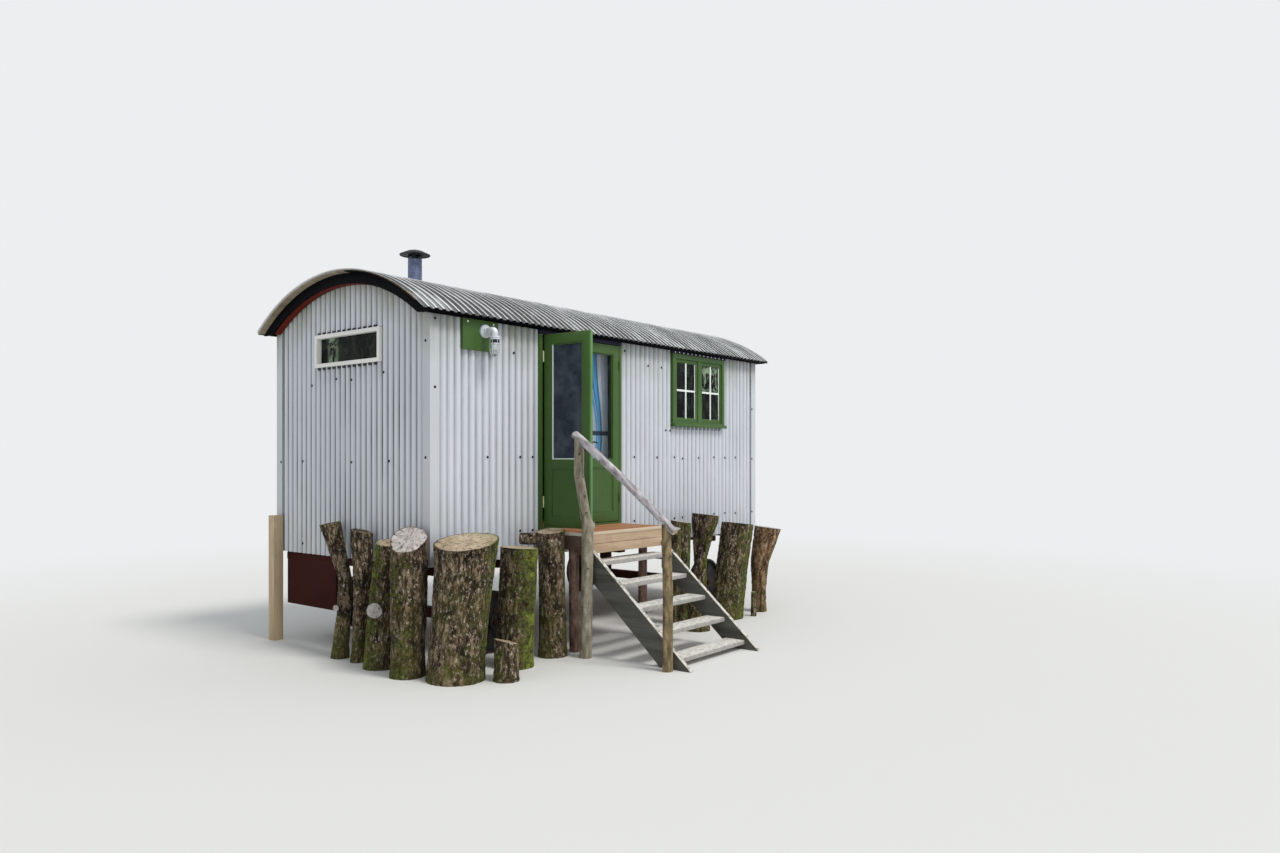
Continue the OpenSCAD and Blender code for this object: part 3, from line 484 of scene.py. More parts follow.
def endGrainLook(name, light, dark, rim):
    look = Look(name, 0.85, light)
    x, y, seed = [look.axis(which, look.reading("cutPlace", "Vector")) for which in range(3)]
    away = look.distance(x, y)
    wander = look.between(look.cloud(5, 4), 0.0, 1.0, -0.02, 0.02)
    rings = look.maths("SINE", look.times(look.maths("ADD", away, wander), 640.0))
    look.coat(dark, rings, -1.0, 1.0, 0.45)
    look.coat(dark, look.cloud(7, 6, 0.7), 0.42, 0.64, 0.8)
    look.coat(rim, look.cloud(30, 6, 0.75, 0.4), 0.52, 0.62, 0.7)
    look.coat(light, look.cloud(42, 5, 0.75), 0.54, 0.64, 0.7)
    fan = look.joined(look.times(look.maths("ARCTAN2", y, x), 3.2), look.times(away, 4.0), seed)
    split = look.maths("ABSOLUTE", look.maths("SUBTRACT", look.cloud(1.0, 2, 0.5, spot=fan), 0.5))
    split = look.between(split, 0.013, 0.005)
    look.coat(barkTones["split"], look.times(split, 0.75))
    edge = look.reading("rim")
    look.coat(rim, edge, 0.93, 0.975)
    wet = look.between(look.cloud(12, 6, 0.7), 0.3, 0.7, -0.5, 0.3)
    green = look.between(look.maths("ADD", look.reading("moss"), wet), 0.3, 0.7)
    look.coat(barkTones["endMoss"], look.times(green, look.between(edge, 0.55, 0.98), 0.45))
    saw = look.cloud(40, 5, 0.7, 0.2, (1, 0.15, 1))
    return look.finish((rings, 0.0006), (split, -0.004), (saw, 0.002), shine=0.2)


def poleLook(name, light, mid, dark):
    look = Look(name, 0.7)
    x, y = [look.axis(which, look.reading("cutPlace", "Vector")) for which in range(2)]
    way = look.reading("alongWay")

    def figure(around, along):  # a noise that follows the pole's own bends
        wrapped = look.joined(look.times(x, around), look.times(y, around), look.times(way, along))
        return look.cloud(1.0, 5, 0.6, 0.4, spot=wrapped)

    patch, strand, scar = figure(22.0, 7.0), figure(150.0, 6.0), figure(9.0, 85.0)
    look.colour = look.ramp(patch, [(0.26, dark), (0.46, mid), (0.66, light)])
    look.coat(dark, strand, 0.54, 0.72, 0.6)
    look.coat(light, strand, 0.44, 0.3, 0.5)
    look.coat(barkTones["scar"], scar, 0.62, 0.72, 0.55)
    look.coat(barkTones["knot"], look.reading("crevice"), 0.25, 0.75, 0.92)
    return look.finish((strand, 0.0012), (scar, 0.0012), (patch, 0.002), shine=0.25)


looks = {
    # the end walls get stronger painted shade in their grooves than the front and back
    "endSheet": sheetPaint("endSheet", "#d3d6db", "#babfc4", grooveShades=(0.50, 1.0)),
    "sideSheet": sheetPaint("sideSheet", "#d2d5db", "#babec6", grooveShades=(0.45, 0.5)),
    "flashing": sheetPaint("flashing", "#c6c9ce", "#b2b6bb", 0.38),
    "roofSheet": roofPaint("roofSheet"),
    "green": paintLook("greenPaint", "#44632d", "#375027", "#8a8a6a"),
    "navy": paintLook("navyPaint", "#050609", "#0a0b11", "#1f2025", 0.6, axis=0, shine=0.05),
    "header": paintLook("headerPaint", "#1f1c34", "#15141f", "#5a5a66", 0.5, axis=0, shine=0.15),
    "redOxide": paintLook("redOxidePaint", "#6a2112", "#43140c", "#2b1d17", 0.7, axis=0, shine=0.15),
    # a darker copy of the red paint for the skirt board, chassis and axles under the hut: painted shade
    "redInShade": paintLook("redPaintInShade", "#3c140d", "#230d09", "#1d1411", 0.7, axis=0, shine=0.12),
    "white": paintLook("whitePaint", "#ebebe6", "#d9d7cc", "#b9ae97", 0.45, axis=1),
    "bead": paintLook("beadPaint", "#eef1ee", "#d6dcd3", "#a9ae97", 0.4),
    "paleGreen": paintLook("palePaint", "#648d56", "#527a48", "#4f7042", 0.45),
    "closerShade": paintLook("closerFoamShade", "#8b9194", "#6f7578", "#5a5f61", 0.7),
    "windowPane": paneLook("windowPane", "#050907", 0.94, 0.06, 0.01, "#a3b89a"),
    "doorPane": paneLook("doorPane", "#272f3c", 0.93, 0.22),
    "clearPane": paneLook("clearPane", "#2c3840", 0.05, 0.2),
    "jar": paneLook("lampJar", "#dfe4e6", 0.38, 0.6),
    "brass": metalLook("hingeBrass", "#e6dcc0", "#bfae84", 0.45, 0.35),
    "iron": metalLook("castIron", "#2c2c2e", "#1b1b1c", 0.6, 0.5, "#5a3320"),
    "galvanised": metalLook("galvanised", "#dfe2e6", "#a3a9b2", 0.45, 0.25),
    "flue": metalLook("flueSteel", "#6f7a98", "#454e66", 0.45, 0.35),
    "cap": metalLook("capSteel", "#232527", "#161718", 0.6, 0.3),
    "screw": metalLook("screwSteel", "#222326", "#131416", 0.55, 0.4),
    "lining": woodLook("liningBoards", "#cdb890", "#a98c5e", axis=2, boards=(0, 0.1), fibre=0.0004),
    "liningEnd": woodLook("liningEndBoards", "#cdb890", "#a98c5e", axis=2, boards=(1, 0.1), fibre=0.0004),
    "floor": woodLook("floorBoards", "#a87a4c", "#7b5430", axis=0, rough=0.5, boards=(1, 0.12)),
    "deck": woodLook("roofBoards", "#c79c66", "#96693c", axis=0, knots=0.1, boards=(1, 0.09)),
    "verge": woodLook("vergeBoards", "#a79a82", "#766b58", axis=0, dirt="#54503f", fibre=0.002),
    "pineAcross": woodLook("sawnPineAcross", "#b58c68", "#7c5a40", axis=1, knots=0.09, dirt="#5c4a3a"),
    "pinePost": woodLook("sawnPost", "#d0bd9c", "#aa9270", axis=2, knots=0.09, dirt="#94866f"),
    "bark": barkLook("barkBrown", [(0.38, "#160f0a"), (0.49, "#4b3b2a"), (0.62, "#8f7c66")],
                     "#cfc6b7", 0.005),
    "smoothBark": barkLook("smoothBark", [(0.36, "#3b291c"), (0.5, "#735740"), (0.64, "#a3876a")],
                           "#b9a78c", 0.002),
    "cutEnd": endGrainLook("cutEnd", "#cebda3", "#8f785c", "#43342a"),
    "greyEnd": endGrainLook("greyEnd", "#cdc6c2", "#968d89", "#544840"),
    "palePole": poleLook("palePole", "#cfcbcd", "#9b9497", "#4d4347"),
    "greyPole": poleLook("greyPole", "#aba392", "#807967", "#474134"),
    "tanPole": poleLook("tanPole", "#a08c69", "#6d5f45", "#3a2f22"),
    "brownPole": poleLook("brownPole", "#93786a", "#6b5247", "#3a2a25"),
    "poleEnd": endGrainLook("poleEnd", "#d8cbb4", "#a8977c", "#6b5a48"),
    "landingTop": woodLook("landingTop", "#b98055", "#8f5c38", axis=0, rough=0.7, byBoard=True,
                           faces=((1, "#c9bba4", 0.85), (0, "#c4c0b6", 0.9))),
    # the tread fronts are darker: painted shade
    "tread": woodLook("treadWood", "#b9b5ae", "#85827c", axis=0, rough=0.85, byBoard=True,
                      wear="#e2ded6", fibre=0.0016, faces=((1, "#86837f", 0.7),)),
    "string": woodLook("stringWood", "#62625b", "#3f3e39", axis=1, rough=0.85, wear="#cdc8bd", fibre=0.0016),
    # the fascia's faces towards minus x are dark: dark wood and painted shade
    "fascia": woodLook("fasciaWood", "#c6ad90", "#977d63", axis=0, knots=0.07, dirt="#8f7b68",
                       byBoard=True, fibre=0.0022, faces=((0, "#463229", 0.92),)),
}
print("finishes made")


# Pieces, and the shapes that they are gathered from

def addPiece(name, points, faces, body, finish, readings=None, parts=None, replaces=(), angle=None):
    mesh = bpy.data.meshes.new(name)
    mesh.from_pydata([tuple(p) for p in points], [], faces)
    for look in finish if isinstance(finish, list) else [finish]:
        mesh.materials.append(look)
    mesh.polygons.foreach_set("use_smooth", [True] * len(mesh.polygons))
    if parts is not None:
        mesh.polygons.foreach_set("material_index", parts)
    for key, values in (readings or {}).items():
        kind, field = ("FLOAT_VECTOR", "vector") if np.ndim(values) == 2 else ("FLOAT", "value")
        data = mesh.attributes.new(key, kind, "POINT").data
        data.foreach_set(field, np.asarray(values, np.float32).ravel())
    mesh.update()
    if angle:
        mesh.set_sharp_from_angle(angle=math.radians(angle))
    piece = stand(name, mesh)
    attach(piece, body)
    if replaces:
        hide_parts(*replaces)
    return piece


def thicken(piece, steel):
    layer = piece.modifiers.new("steel", "SOLIDIFY")
    layer.thickness = steel
    layer.offset = -1


def band(a, b, sides):  # the faces between two rings of points
    return [[a + i, a + (i + 1) % sides, b + (i + 1) % sides, b + i] for i in range(sides)]


class Joinery:  # gathers boards, rods and turned shapes into one piece
    def __init__(self):
        self.points, self.faces, self.shades, self.wears = [], [], [], []

    def add(self, point, shade=0.5, worn=0.0):
        self.points.append(point)
        self.shades.append(shade)
        self.wears.append(worn)

    def take(self, bm, wear, shade=0.5, move=None):  # wear tells how far a point is rubbed bare
        start = len(self.points)
        bm.verts.index_update()
        for v in bm.verts:
            self.add(move @ v.co if move else v.co.copy(), shade, wear(v.co))
        self.faces += [[start + v.index for v in f.verts] for f in bm.faces]
        bm.free()

    def skin(self, start, rings, sides, closed):  # faces over rings of points, and ends unless closed
        for k in range(rings if closed else rings - 1):
            self.faces += band(start + k * sides, start + (k + 1) % rings * sides, sides)
        if not closed:
            self.faces.append([start + i for i in reversed(range(sides))])
            self.faces.append([start + (rings - 1) * sides + i for i in range(sides)])

    def board(self, low, high, soft=0.003, shade=0.5, cuts=0, warp=0.0, seed=0, move=None, worn=0.0):
        bm = bmesh.new()
        bmesh.ops.create_cube(bm, size=1)
        low, high = Vector(low), Vector(high)
        size = high - low
        for v in bm.verts:
            v.co = low + Vector([(v.co[i] + 0.5) * size[i] for i in range(3)])
        axis = max(range(3), key=lambda i: size[i])
        if cuts:
            along = [e for e in bm.edges
                     if abs(abs(e.verts[0].co[axis] - e.verts[1].co[axis]) - size[axis]) < 1e-6]
            bmesh.ops.subdivide_edges(bm, edges=along, cuts=cuts, use_grid_fill=True)
        keen = [e for e in bm.edges if len(e.link_faces) == 2 and e.calc_face_angle(0) > 0.5]
        bmesh.ops.bevel(bm, geom=keen, offset=soft, segments=2, affect="EDGES", profile=0.6)
        if warp:
            for v in bm.verts:
                inward = (low + high) / 2 - v.co
                inward[axis] = 0
                if inward.length > 1e-6:
                    lump = 0.5 + 0.5 * noise.noise(v.co * 9 + Vector((seed * 7.3, 0, 0)))
                    v.co += inward.normalized() * warp * lump

        def rubbed(p):  # worn along the board's long edges
            gaps = sorted(min(abs(p[i] - low[i]), abs(high[i] - p[i])) for i in range(3) if i != axis)
            return worn if gaps[1] < soft * 1.2 + warp else 0.0

        self.take(bm, rubbed, shade, move)

    def turned(self, centre, direction, profile, sides, closed=False):  # profile: radius and height
        turn = Vector(direction).to_track_quat("Z", "Y").to_matrix().to_4x4()
        move = Matrix.Translation(Vector(centre)) @ turn
        start = len(self.points)
        for r, z in profile:
            for i in range(sides):
                a = 2 * math.pi * i / sides
                self.add(move @ Vector((r * math.cos(a), r * math.sin(a), z)))
        self.skin(start, len(profile), sides, closed)

    def rod(self, path, radius, sides, loop=False):
        path = [Vector(p) for p in path]
        count = len(path)
        start = len(self.points)
        across = None
        for k, p in enumerate(path):
            if loop:
                ahead = (path[(k + 1) % count] - path[k - 1]).normalized()
            else:
                ahead = (path[min(k + 1, count - 1)] - path[max(k - 1, 0)]).normalized()
            if across is None:
                across = ahead.orthogonal().normalized()
            across = (across - ahead * across.dot(ahead)).normalized()
            other = ahead.cross(across)
            wide = radius[k] if isinstance(radius, (list, tuple)) else radius
            for i in range(sides):
                a = 2 * math.pi * i / sides
                self.add(p + wide * (math.cos(a) * across + math.sin(a) * other))
        self.skin(start, count, sides, loop)

    def make(self, name, body, slot, finish, replaces=(), angle=35):
        readings = {"boardTone": self.shades, "wear": self.wears}
        addPiece(name, self.points, self.faces, body, finish, readings, None, replaces, angle)


# Copies of CAD pieces with their edges eased, as planed timber has them

eased = {  # CAD piece: radius of its edges, finish, slot
    "door_frame": (0.0025, "green", "green_paint"),
    "door_headers": (0.0020, "header", "navy_paint"),
    "front_window_frame": (0.0030, "green", "green_paint"),
    "front_window_sashes": (0.0025, "green", "green_paint"),
    "end_window_frames": (0.0020, "white", "white_paint"),
    "lamp_board": (0.0030, "green", "green_paint"),
    "left_door_leaf": (0.0025, "green", "green_paint"),
    "right_door_leaf": (0.0025, "green", "green_paint"),
    "bargeboards": (0.0020, "navy", "navy_paint"),
    "eaves_boards": (0.0020, "navy", "navy_paint"),
    "gable_soffits": (0.0010, "redOxide", "red_paint"),
    "end_skirt_board": (0.0030, "redInShade", "red_paint"),
    "rear_corner_post": (0.0040, "pinePost", "raw_pine"),
    "chassis_rails": (0.0040, "redInShade", "red_paint"),
    "chassis_bearers": (0.0040, "redInShade", "red_paint"),
    "axles": (0.0030, "redInShade", "red_paint"),
    "axle_blocks": (0.0030, "redInShade", "red_paint"),
    "floor_joists": (0.0020, "pineAcross", "raw_pine"),
}


def easedCopy(name, soft, finish, part=None, cutY=None):
    bm = bmesh.new()
    bm.from_mesh(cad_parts[name].data)
    bmesh.ops.remove_doubles(bm, verts=bm.verts, dist=0.00002)
    bmesh.ops.dissolve_limit(bm, angle_limit=math.radians(0.3), verts=bm.verts, edges=bm.edges)
    if cutY:
        bmesh.ops.bisect_plane(bm, geom=list(bm.verts) + list(bm.edges) + list(bm.faces),
                               plane_co=place(0, cutY, 0), plane_no=(0, 1, 0))
    keen = [e for e in bm.edges if len(e.link_faces) == 2 and e.calc_face_angle(0) > 0.6]
    bmesh.ops.bevel(bm, geom=keen, offset=soft, segments=2, affect="EDGES", profile=0.6,
                    clamp_overlap=True)
    bm.verts.index_update()
    points = [v.co.copy() for v in bm.verts]
    faces = [[v.index for v in f.verts] for f in bm.faces]
    parts = [part(f.calc_center_median() - corner) for f in bm.faces] if part else None
    bm.free()
    body = name.split("_")[0] + "_door" if name.endswith("leaf") else "hut"
    addPiece(name + ".eased", points, faces, body, finish, None, parts, [name], 32)


for name, (soft, look, slot) in eased.items():
    easedCopy(name, soft, looks[look])


def beyond(value, high, over=0.001):
    return value < -over or value > high + over


def deckPart(p):
    if beyond(p.x, hut["length"]):
        outside = beyond(p.x, hut["length"], hut["bargeGap"] + 0.001)
        return 1 if outside and p.y > hut["bareFrom"] else 2  # bare at the back half, painted in front
    return 2 if beyond(p.y, hut["width"]) else 0  # the eaves outside the walls are painted


easedCopy("roof_deck", 0.001, [looks["deck"], looks["verge"], looks["navy"]], deckPart,
          hut["bareFrom"])

dressed = {  # pieces that keep the CAD's shape, by finish
    "flashing": ["corner_flashings"],
    "windowPane": ["window_glass"],
    "doorPane": ["left_door_glass"],
    "clearPane": ["right_door_glass"],
    "brass": ["left_door_hinges"],
    "green": ["right_door_hinges"],
    "iron": ["wheels", "curtain_pole"],
    "cap": ["flue_cap"],
    "lining": ["front_wall_left", "front_wall_right", "front_wall_over_door", "front_wall_under_door",
               "back_wall"],
    "liningEnd": ["left_end_wall", "right_end_wall"],
    "floor": ["floor_boards"],
}
for look, names in dressed.items():
    for name in names:
        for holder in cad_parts[name].material_slots:
            holder.material = looks[look]
print("joinery eased and CAD pieces dressed")


# Corrugated walls

wallSheets = {"stepsPerPitch": 14, "rowEvery": 0.33, "sheetWide": 8, "lap": 0.0012, "lapShare": 0.42,
              "dent": 0.0012, "edgeIn": 0.0251, "steel": 0.0012, "hem": 0.004, "underDeck": 0.003,
              "around": 0.001}


def wallPlace(side):
    if side == "front":
        return lambda s, d, z: place(s, d, z)
    if side == "back":
        return lambda s, d, z: place(s, hut["width"] - d, z)
    if side == "left":
        return lambda s, d, z: place(d, s, z)
    return lambda s, d, z: place(hut["length"] - d, s, z)


def wallStations(long, holes):
    edge = wallSheets["edgeIn"]
    count = int((long - 2 * edge) / hut["pitch"] * wallSheets["stepsPerPitch"])
    stations = set(np.linspace(edge, long - edge, count + 1))
    for low, high, _, _ in holes:
        stations |= {low, high}
    kept = []
    for s in sorted(stations):
        if not kept or s - kept[-1] > 0.0006:
            kept.append(s)
    return kept


def wallSheet(side, holes):
    put = wallPlace(side)
    alongFront = side in ("front", "back")
    long = hut["length"] if alongFront else hut["width"]
    under = deckUnder(hut["crestIn"]) - wallSheets["underDeck"]
    wide, hem = wallSheets["sheetWide"], wallSheets["hem"]
    kept = wallStations(long, holes)
    points, faces, valley, known = [], [], [], {}

    def spot(k, z):
        key = (k, round(z, 5))
        if key not in known:
            s = kept[k]
            d = hut["crestIn"] + dip(s)
            if (s / hut["pitch"]) % wide > wide - wallSheets["lapShare"]:
                d -= wallSheets["lap"]
            d += wallSheets["dent"] * (0.5 + 0.5 * noise.noise(Vector((s * 2.3, z * 1.1, len(side)))))
            known[key] = len(points)
            points.append(put(s, d, z))
            valley.append(dip(s) / hut["depth"])
        return known[key]

    def topAt(s):
        return under if alongFront else deckUnder(s) - 0.001

    for k in range(len(kept) - 1):
        mid = (kept[k] + kept[k + 1]) / 2
        stretches = [(hut["skirt"], None)]
        for low, high, z0, z1 in holes:
            if low < mid < high:
                stretches = [(a, z0) if b is None else (a, b) for a, b in stretches]
                stretches.append((z1, None))
        for z0, z1 in stretches:
            tops = [topAt(kept[j]) if z1 is None else z1 for j in (k, k + 1)]
            if z0 >= min(tops) - 0.001:
                continue
            rows = max(1, round((min(tops) - z0) / wallSheets["rowEvery"]))
            # a narrow row along each cut edge keeps the steel beside it flat
            left, right = [[z0, z0 + hem] + [z0 + (t - z0) * r / rows for r in range(1, rows)] + [t - hem, t]
                           for t in tops]
            for r in range(len(left) - 1):
                quad = [spot(k, left[r]), spot(k + 1, right[r]), spot(k + 1, right[r + 1]),
                        spot(k, left[r + 1])]
                faces.append(quad if side in ("front", "right") else quad[::-1])
    piece = addPiece(side + "Sheet", points, faces, "hut",
                     looks["sideSheet" if alongFront else "endSheet"], readings={"valley": valley},
                     replaces=[side + ("_cladding" if alongFront else "_end_cladding")])
    thicken(piece, wallSheets["steel"])


def hole(x, w, z, h):
    spare = wallSheets["around"]
    return (x - spare, x + w + spare, z - spare, z + h + spare)


doorway = hole(door["x"], door["width"], hut["floor"], hut["crown"] - hut["floor"])
wallSheet("front", [hole(*windows["front"]), doorway])
wallSheet("back", [])
wallSheet("left", [hole(*windows["end"])])
wallSheet("right", [hole(*windows["end"])])
print("corrugated walls made")


# Roof sheet

roof = {"stepsPerPitch": 10, "arcSteps": 36, "sheetWide": 8, "lap": 0.0012, "lapFrom": 0.3,
        "lapShare": 0.42, "sag": 0.0012, "steel": 0.0013, "hem": 0.004, "lift": 0.0004}


def roofSheet():
    low, high = -hut["gableOver"], hut["length"] + hut["gableOver"]
    count = int((high - low) / hut["pitch"] * roof["stepsPerPitch"])
    sweep = 2 * math.asin(halfSpan / roofRadius)
    points, faces, valley, shadeSide = [], [], [], []
    hem = roof["hem"] / roofRadius
    bends = [-sweep / 2 + sweep * j / roof["arcSteps"] for j in range(roof["arcSteps"] + 1)]
    bends = [bends[0], bends[0] + hem] + bends[1:-1] + [bends[-1] - hem, bends[-1]]
    for i in range(count + 1):
        s = low + (high - low) * i / count
        r = roofRadius - dip(s) - hut["fit"]
        if roof["lapFrom"] < (s / hut["pitch"]) % roof["sheetWide"] < roof["sheetWide"] - roof["lapShare"]:
            r -= roof["lap"]
        for a in bends:
            sag = r + roof["sag"] * noise.noise(Vector((s * 1.7, a * 5, 3.1))) - roof["sag"]
            sag = max(sag, roofRadius - hut["depth"] - roof["lift"])  # clear of the deck in the valleys
            points.append(place(s, hut["width"] / 2 + sag * math.sin(a), archZ + sag * math.cos(a)))
            valley.append(dip(s) / hut["depth"])
            # weight of the rib's flank that faces minus x, which the roof finish paints dark as shade
            shadeSide.append(0.5 - 0.5 * math.sin(2 * math.pi * s / hut["pitch"]))
    wide = len(bends)
    for i in range(count):
        for k in range(i * wide, (i + 1) * wide - 1):
            faces.append([k, k + wide, k + wide + 1, k + 1])
    piece = addPiece("roofSheet", points, faces, "hut", looks["roofSheet"],
                     readings={"valley": valley, "shadeSide": shadeSide}, replaces=["roof_sheet"])
    thicken(piece, roof["steel"])


roofSheet()
print("roof sheet made")


# Closers: small plugs that fill the valleys of the sheet above and below a window, darkened as painted shade
# in the valley openings

closers = {"high": 0.021, "frontHigh": 0.026, "setBack": 0.0012, "share": 0.34, "steps": 8}


def closerRow(work, side, s0, s1, z0, tall):
    put = wallPlace(side)
    p = hut["pitch"]
    for k in range(math.ceil(s0 / p - 0.5), int(s1 / p - 0.5) + 1):
        centre = (k + 0.5) * p
        wide = closers["share"] * p
        if centre - wide < s0 or centre + wide > s1:
            continue
        start = len(work.points)
        steps = closers["steps"]
        high = tall * random.uniform(0.75, 1.0)
        for z in (z0, z0 + high):
            for i in range(steps + 1):
                s = centre - wide + 2 * wide * i / steps
                work.add(put(s, hut["crestIn"] + dip(s) - 0.0002, z))
            work.add(put(centre + wide, hut["crestIn"] + closers["setBack"], z))
            work.add(put(centre - wide, hut["crestIn"] + closers["setBack"], z))
        n = steps + 3
        for i in range(n):
            j = (i + 1) % n
            work.faces.append([start + i, start + n + i, start + n + j, start + j])
        work.faces.append([start + i for i in range(n)])
        work.faces.append([start + n + i for i in reversed(range(n))])


def windowClosers():
    random.seed(3)
    x, w, z, h = windows["end"]
    dark = Joinery()
    # the end closers are black: painted shade in the valley openings above and below the end windows
    for side in ("left", "right"):
        closerRow(dark, side, x, x + w, z - closers["high"] - 0.001, closers["high"])
        closerRow(dark, side, x, x + w, z + h + 0.001, closers["high"])
    dark.make("endClosers", "hut", "flue_steel", looks["cap"])
    x, w, z, h = windows["front"]
    # the grey plugs under the front sill darken the valley openings: painted shade
    under = Joinery()
    closerRow(under, "front", x - 0.02, x + w + 0.02, z - closers["frontHigh"] - 0.006,
              closers["frontHigh"])
    under.make("frontClosers", "hut", "flue_steel", looks["closerShade"])


windowClosers()


# Screws with dark washers

screws = {
    "washer": 0.0120, "head": 0.0085, "high": 0.0046, "flashing": 0.09,
    "long": [0.626, 0.955, 1.143, 2.598, 2.965, 3.253, 3.416, 3.712, 4.028, 4.265, 4.493],
    "short": [0.568, 1.092, 1.827, 2.195], "longRows": (1.708, 1.065), "shortRows": (1.672, 0.925),
}
screwSpots = {  # single screws: distance along the wall, height
    "front": [(2.81, 2.66), (3.08, 2.66), (3.12, 2.00), (3.20, 2.00), (4.86, 2.30), (0.05, 2.82),
              (0.05, 2.27), (4.86, 1.70), (4.86, 1.06), (0.92, 2.62), (2.44, 2.78)],
    "left": [(0.60, 2.42), (1.64, 2.36), (1.33, 2.40), (1.05, 2.38), (0.055, 2.64),
             (0.055, 1.706)],
    "back": [(0.9, 2.60), (2.1, 2.58), (3.4, 2.61), (4.86, 2.35), (0.05, 2.12)],
    "right": [(0.60, 2.42), (1.64, 2.36), (1.05, 2.38), (0.13, 2.54)],
}


def wallScrews():
    random.seed(5)
    work = Joinery()
    out = {"front": (0, -1, 0), "back": (0, 1, 0), "left": (-1, 0, 0), "right": (1, 0, 0)}
    washer, head, high = screws["washer"], screws["head"], screws["high"]
    shape = [(washer, 0), (washer, 0.001), (head, 0.0013), (head, high - 0.001), (head * 0.7, high)]
    for side, single in screwSpots.items():
        put = wallPlace(side)
        kind, long = ("long", hut["length"]) if side in ("front", "back") else ("short", hut["width"])
        rows = [(s, z + random.uniform(-0.008, 0.008)) for z in screws[kind + "Rows"] for s in screws[kind]]
        for s, z in single + rows:
            depth = -0.0004  # on a flashing at the corners, else on the crest that lies nearest
            if screws["flashing"] <= s <= long - screws["flashing"]:
                depth = hut["crestIn"] - 0.0006
                s = round(s / hut["pitch"]) * hut["pitch"]
            work.turned(put(s, depth, z), out[side], shape, 14)
    work.make("wallScrews", "hut", "flue_steel", looks["screw"])


wallScrews()
print("closers and screws made")


# Doors: beads round the glass, mouldings round the panel, a pale lipping, handles

leafWork = {
    "bead": 0.011, "beadDeep": 0.0095, "panelLow": 1.180, "panelHigh": 1.615, "panelSide": 0.082,
    "recess": 0.009, "moulding": 0.013, "handleZ": 1.855, "rose": 0.026, "keyRose": 0.016, "keyDrop": 0.075,
    "lever": 0.115, "leverR": 0.0085, "leverOut": 0.046, "leverBend": 0.014, "glassFront": 0.0255,
    "glassBack": 0.0325,
}


def leafPlace(side):
    if side == "left":
        pin = place(door["x"] + door["jamb"] + door["gap"] / 2, door["pinY"], 0)
        return Matrix.Translation(pin) @ Matrix.Rotation(math.radians(-door["open"]), 4, "Z")
    pin = place(door["x"] + door["width"] - door["jamb"] - door["gap"] / 2, door["pinY"], 0)
    return Matrix.Translation(pin)


def leafBoard(work, side, x0, x1, y0, y1, z0, z1, soft=0.002):
    if side == "right":
        x0, x1 = -x1, -x0
    work.board((x0, y0, z0), (x1, y1, z1), soft, move=leafPlace(side))


def fourSides(x0, x1, z0, z1, wide):  # strips round an opening: left, right, foot and head
    return [(x0, x0 + wide, z0, z1), (x1 - wide, x1, z0, z1),
            (x0 + wide, x1 - wide, z0, z0 + wide), (x0 + wide, x1 - wide, z1 - wide, z1)]


def leafTrim(side):
    edge = door["gap"] / 2
    body = side + "_door"
    front, back = door["face"], door["face"] + door["thick"]
    white, green, lip = Joinery(), Joinery(), Joinery()
    deep = leafWork["beadDeep"]
    beads = fourSides(edge + door["stile"], edge + door["leaf"] - door["stile"], door["glassLow"],
                      door["glassHigh"], leafWork["bead"])
    for y0 in (leafWork["glassFront"] - deep, leafWork["glassBack"]):
        for work, (x0, x1, z0, z1) in zip((white, green, white, green), beads):
            leafBoard(work, side, x0, x1, y0, y0 + deep, z0, z1)
    mouldings = fourSides(edge + leafWork["panelSide"], edge + door["leaf"] - leafWork["panelSide"],
                          leafWork["panelLow"], leafWork["panelHigh"], leafWork["moulding"])
    for face, inward in ((front, 1), (back, -1)):
        y0, y1 = sorted((face + inward * 0.002, face + inward * leafWork["recess"]))
        for x0, x1, z0, z1 in mouldings:
            leafBoard(green, side, x0, x1, y0, y1, z0, z1)
    x1 = edge + door["leaf"]
    leafBoard(lip, side, x1 - 0.002, x1 + 0.0008, back - 0.028, back - 0.002, door["low"] + 0.002,
              door["top"] - 0.002, 0.0006)
    slot, finish = ("white_paint", "bead") if side == "left" else ("green_paint", "green")
    white.make(side + "Beads", body, slot, looks[finish])
    green.make(side + "Mouldings", body, "green_paint", looks["green"])
    lip.make(side + "Lipping", body, "green_paint", looks["paleGreen"])


def leafHandles(side):
    move = leafPlace(side)
    sign = -1 if side == "right" else 1
    x = sign * (door["gap"] / 2 + door["leaf"] - door["stile"] / 2)
    r, reach, top = leafWork["leverR"], leafWork["leverOut"], leafWork["handleZ"]
    long, bend = leafWork["lever"], leafWork["leverBend"]
    work = Joinery()
    for face, out in ((door["face"], -1), (door["face"] + door["thick"], 1)):
        away = move.to_3x3() @ Vector((0, out, 0))
        for z, wide in ((top, leafWork["rose"]), (top - leafWork["keyDrop"], leafWork["keyRose"])):
            work.turned(move @ Vector((x, face, z)), away,
                        [(wide, 0), (wide, 0.003), (wide * 0.9, 0.005), (wide * 0.4, 0.006)], 28)
        path = [(x, face, top), (x, face + out * (reach - bend), top)]
        for k in range(1, 5):
            a = math.radians(90 * k / 4)
            path.append((x - sign * bend * (1 - math.cos(a)),
                         face + out * (reach - bend + bend * math.sin(a)), top))
        path.append((x - sign * long * 0.6, face + out * reach, top + 0.002))
        path.append((x - sign * long, face + out * (reach - 0.004), top - 0.006))
        work.rod([move @ Vector(p) for p in path], [r] * 6 + [r * 0.9, r * 0.75], 14)
    work.make(side + "Handles", side + "_door", "pole_iron", looks["iron"], angle=40)


for side in ("left", "right"):
    leafTrim(side)
    leafHandles(side)
print("doors trimmed")


# Windows: glazing bars and beads

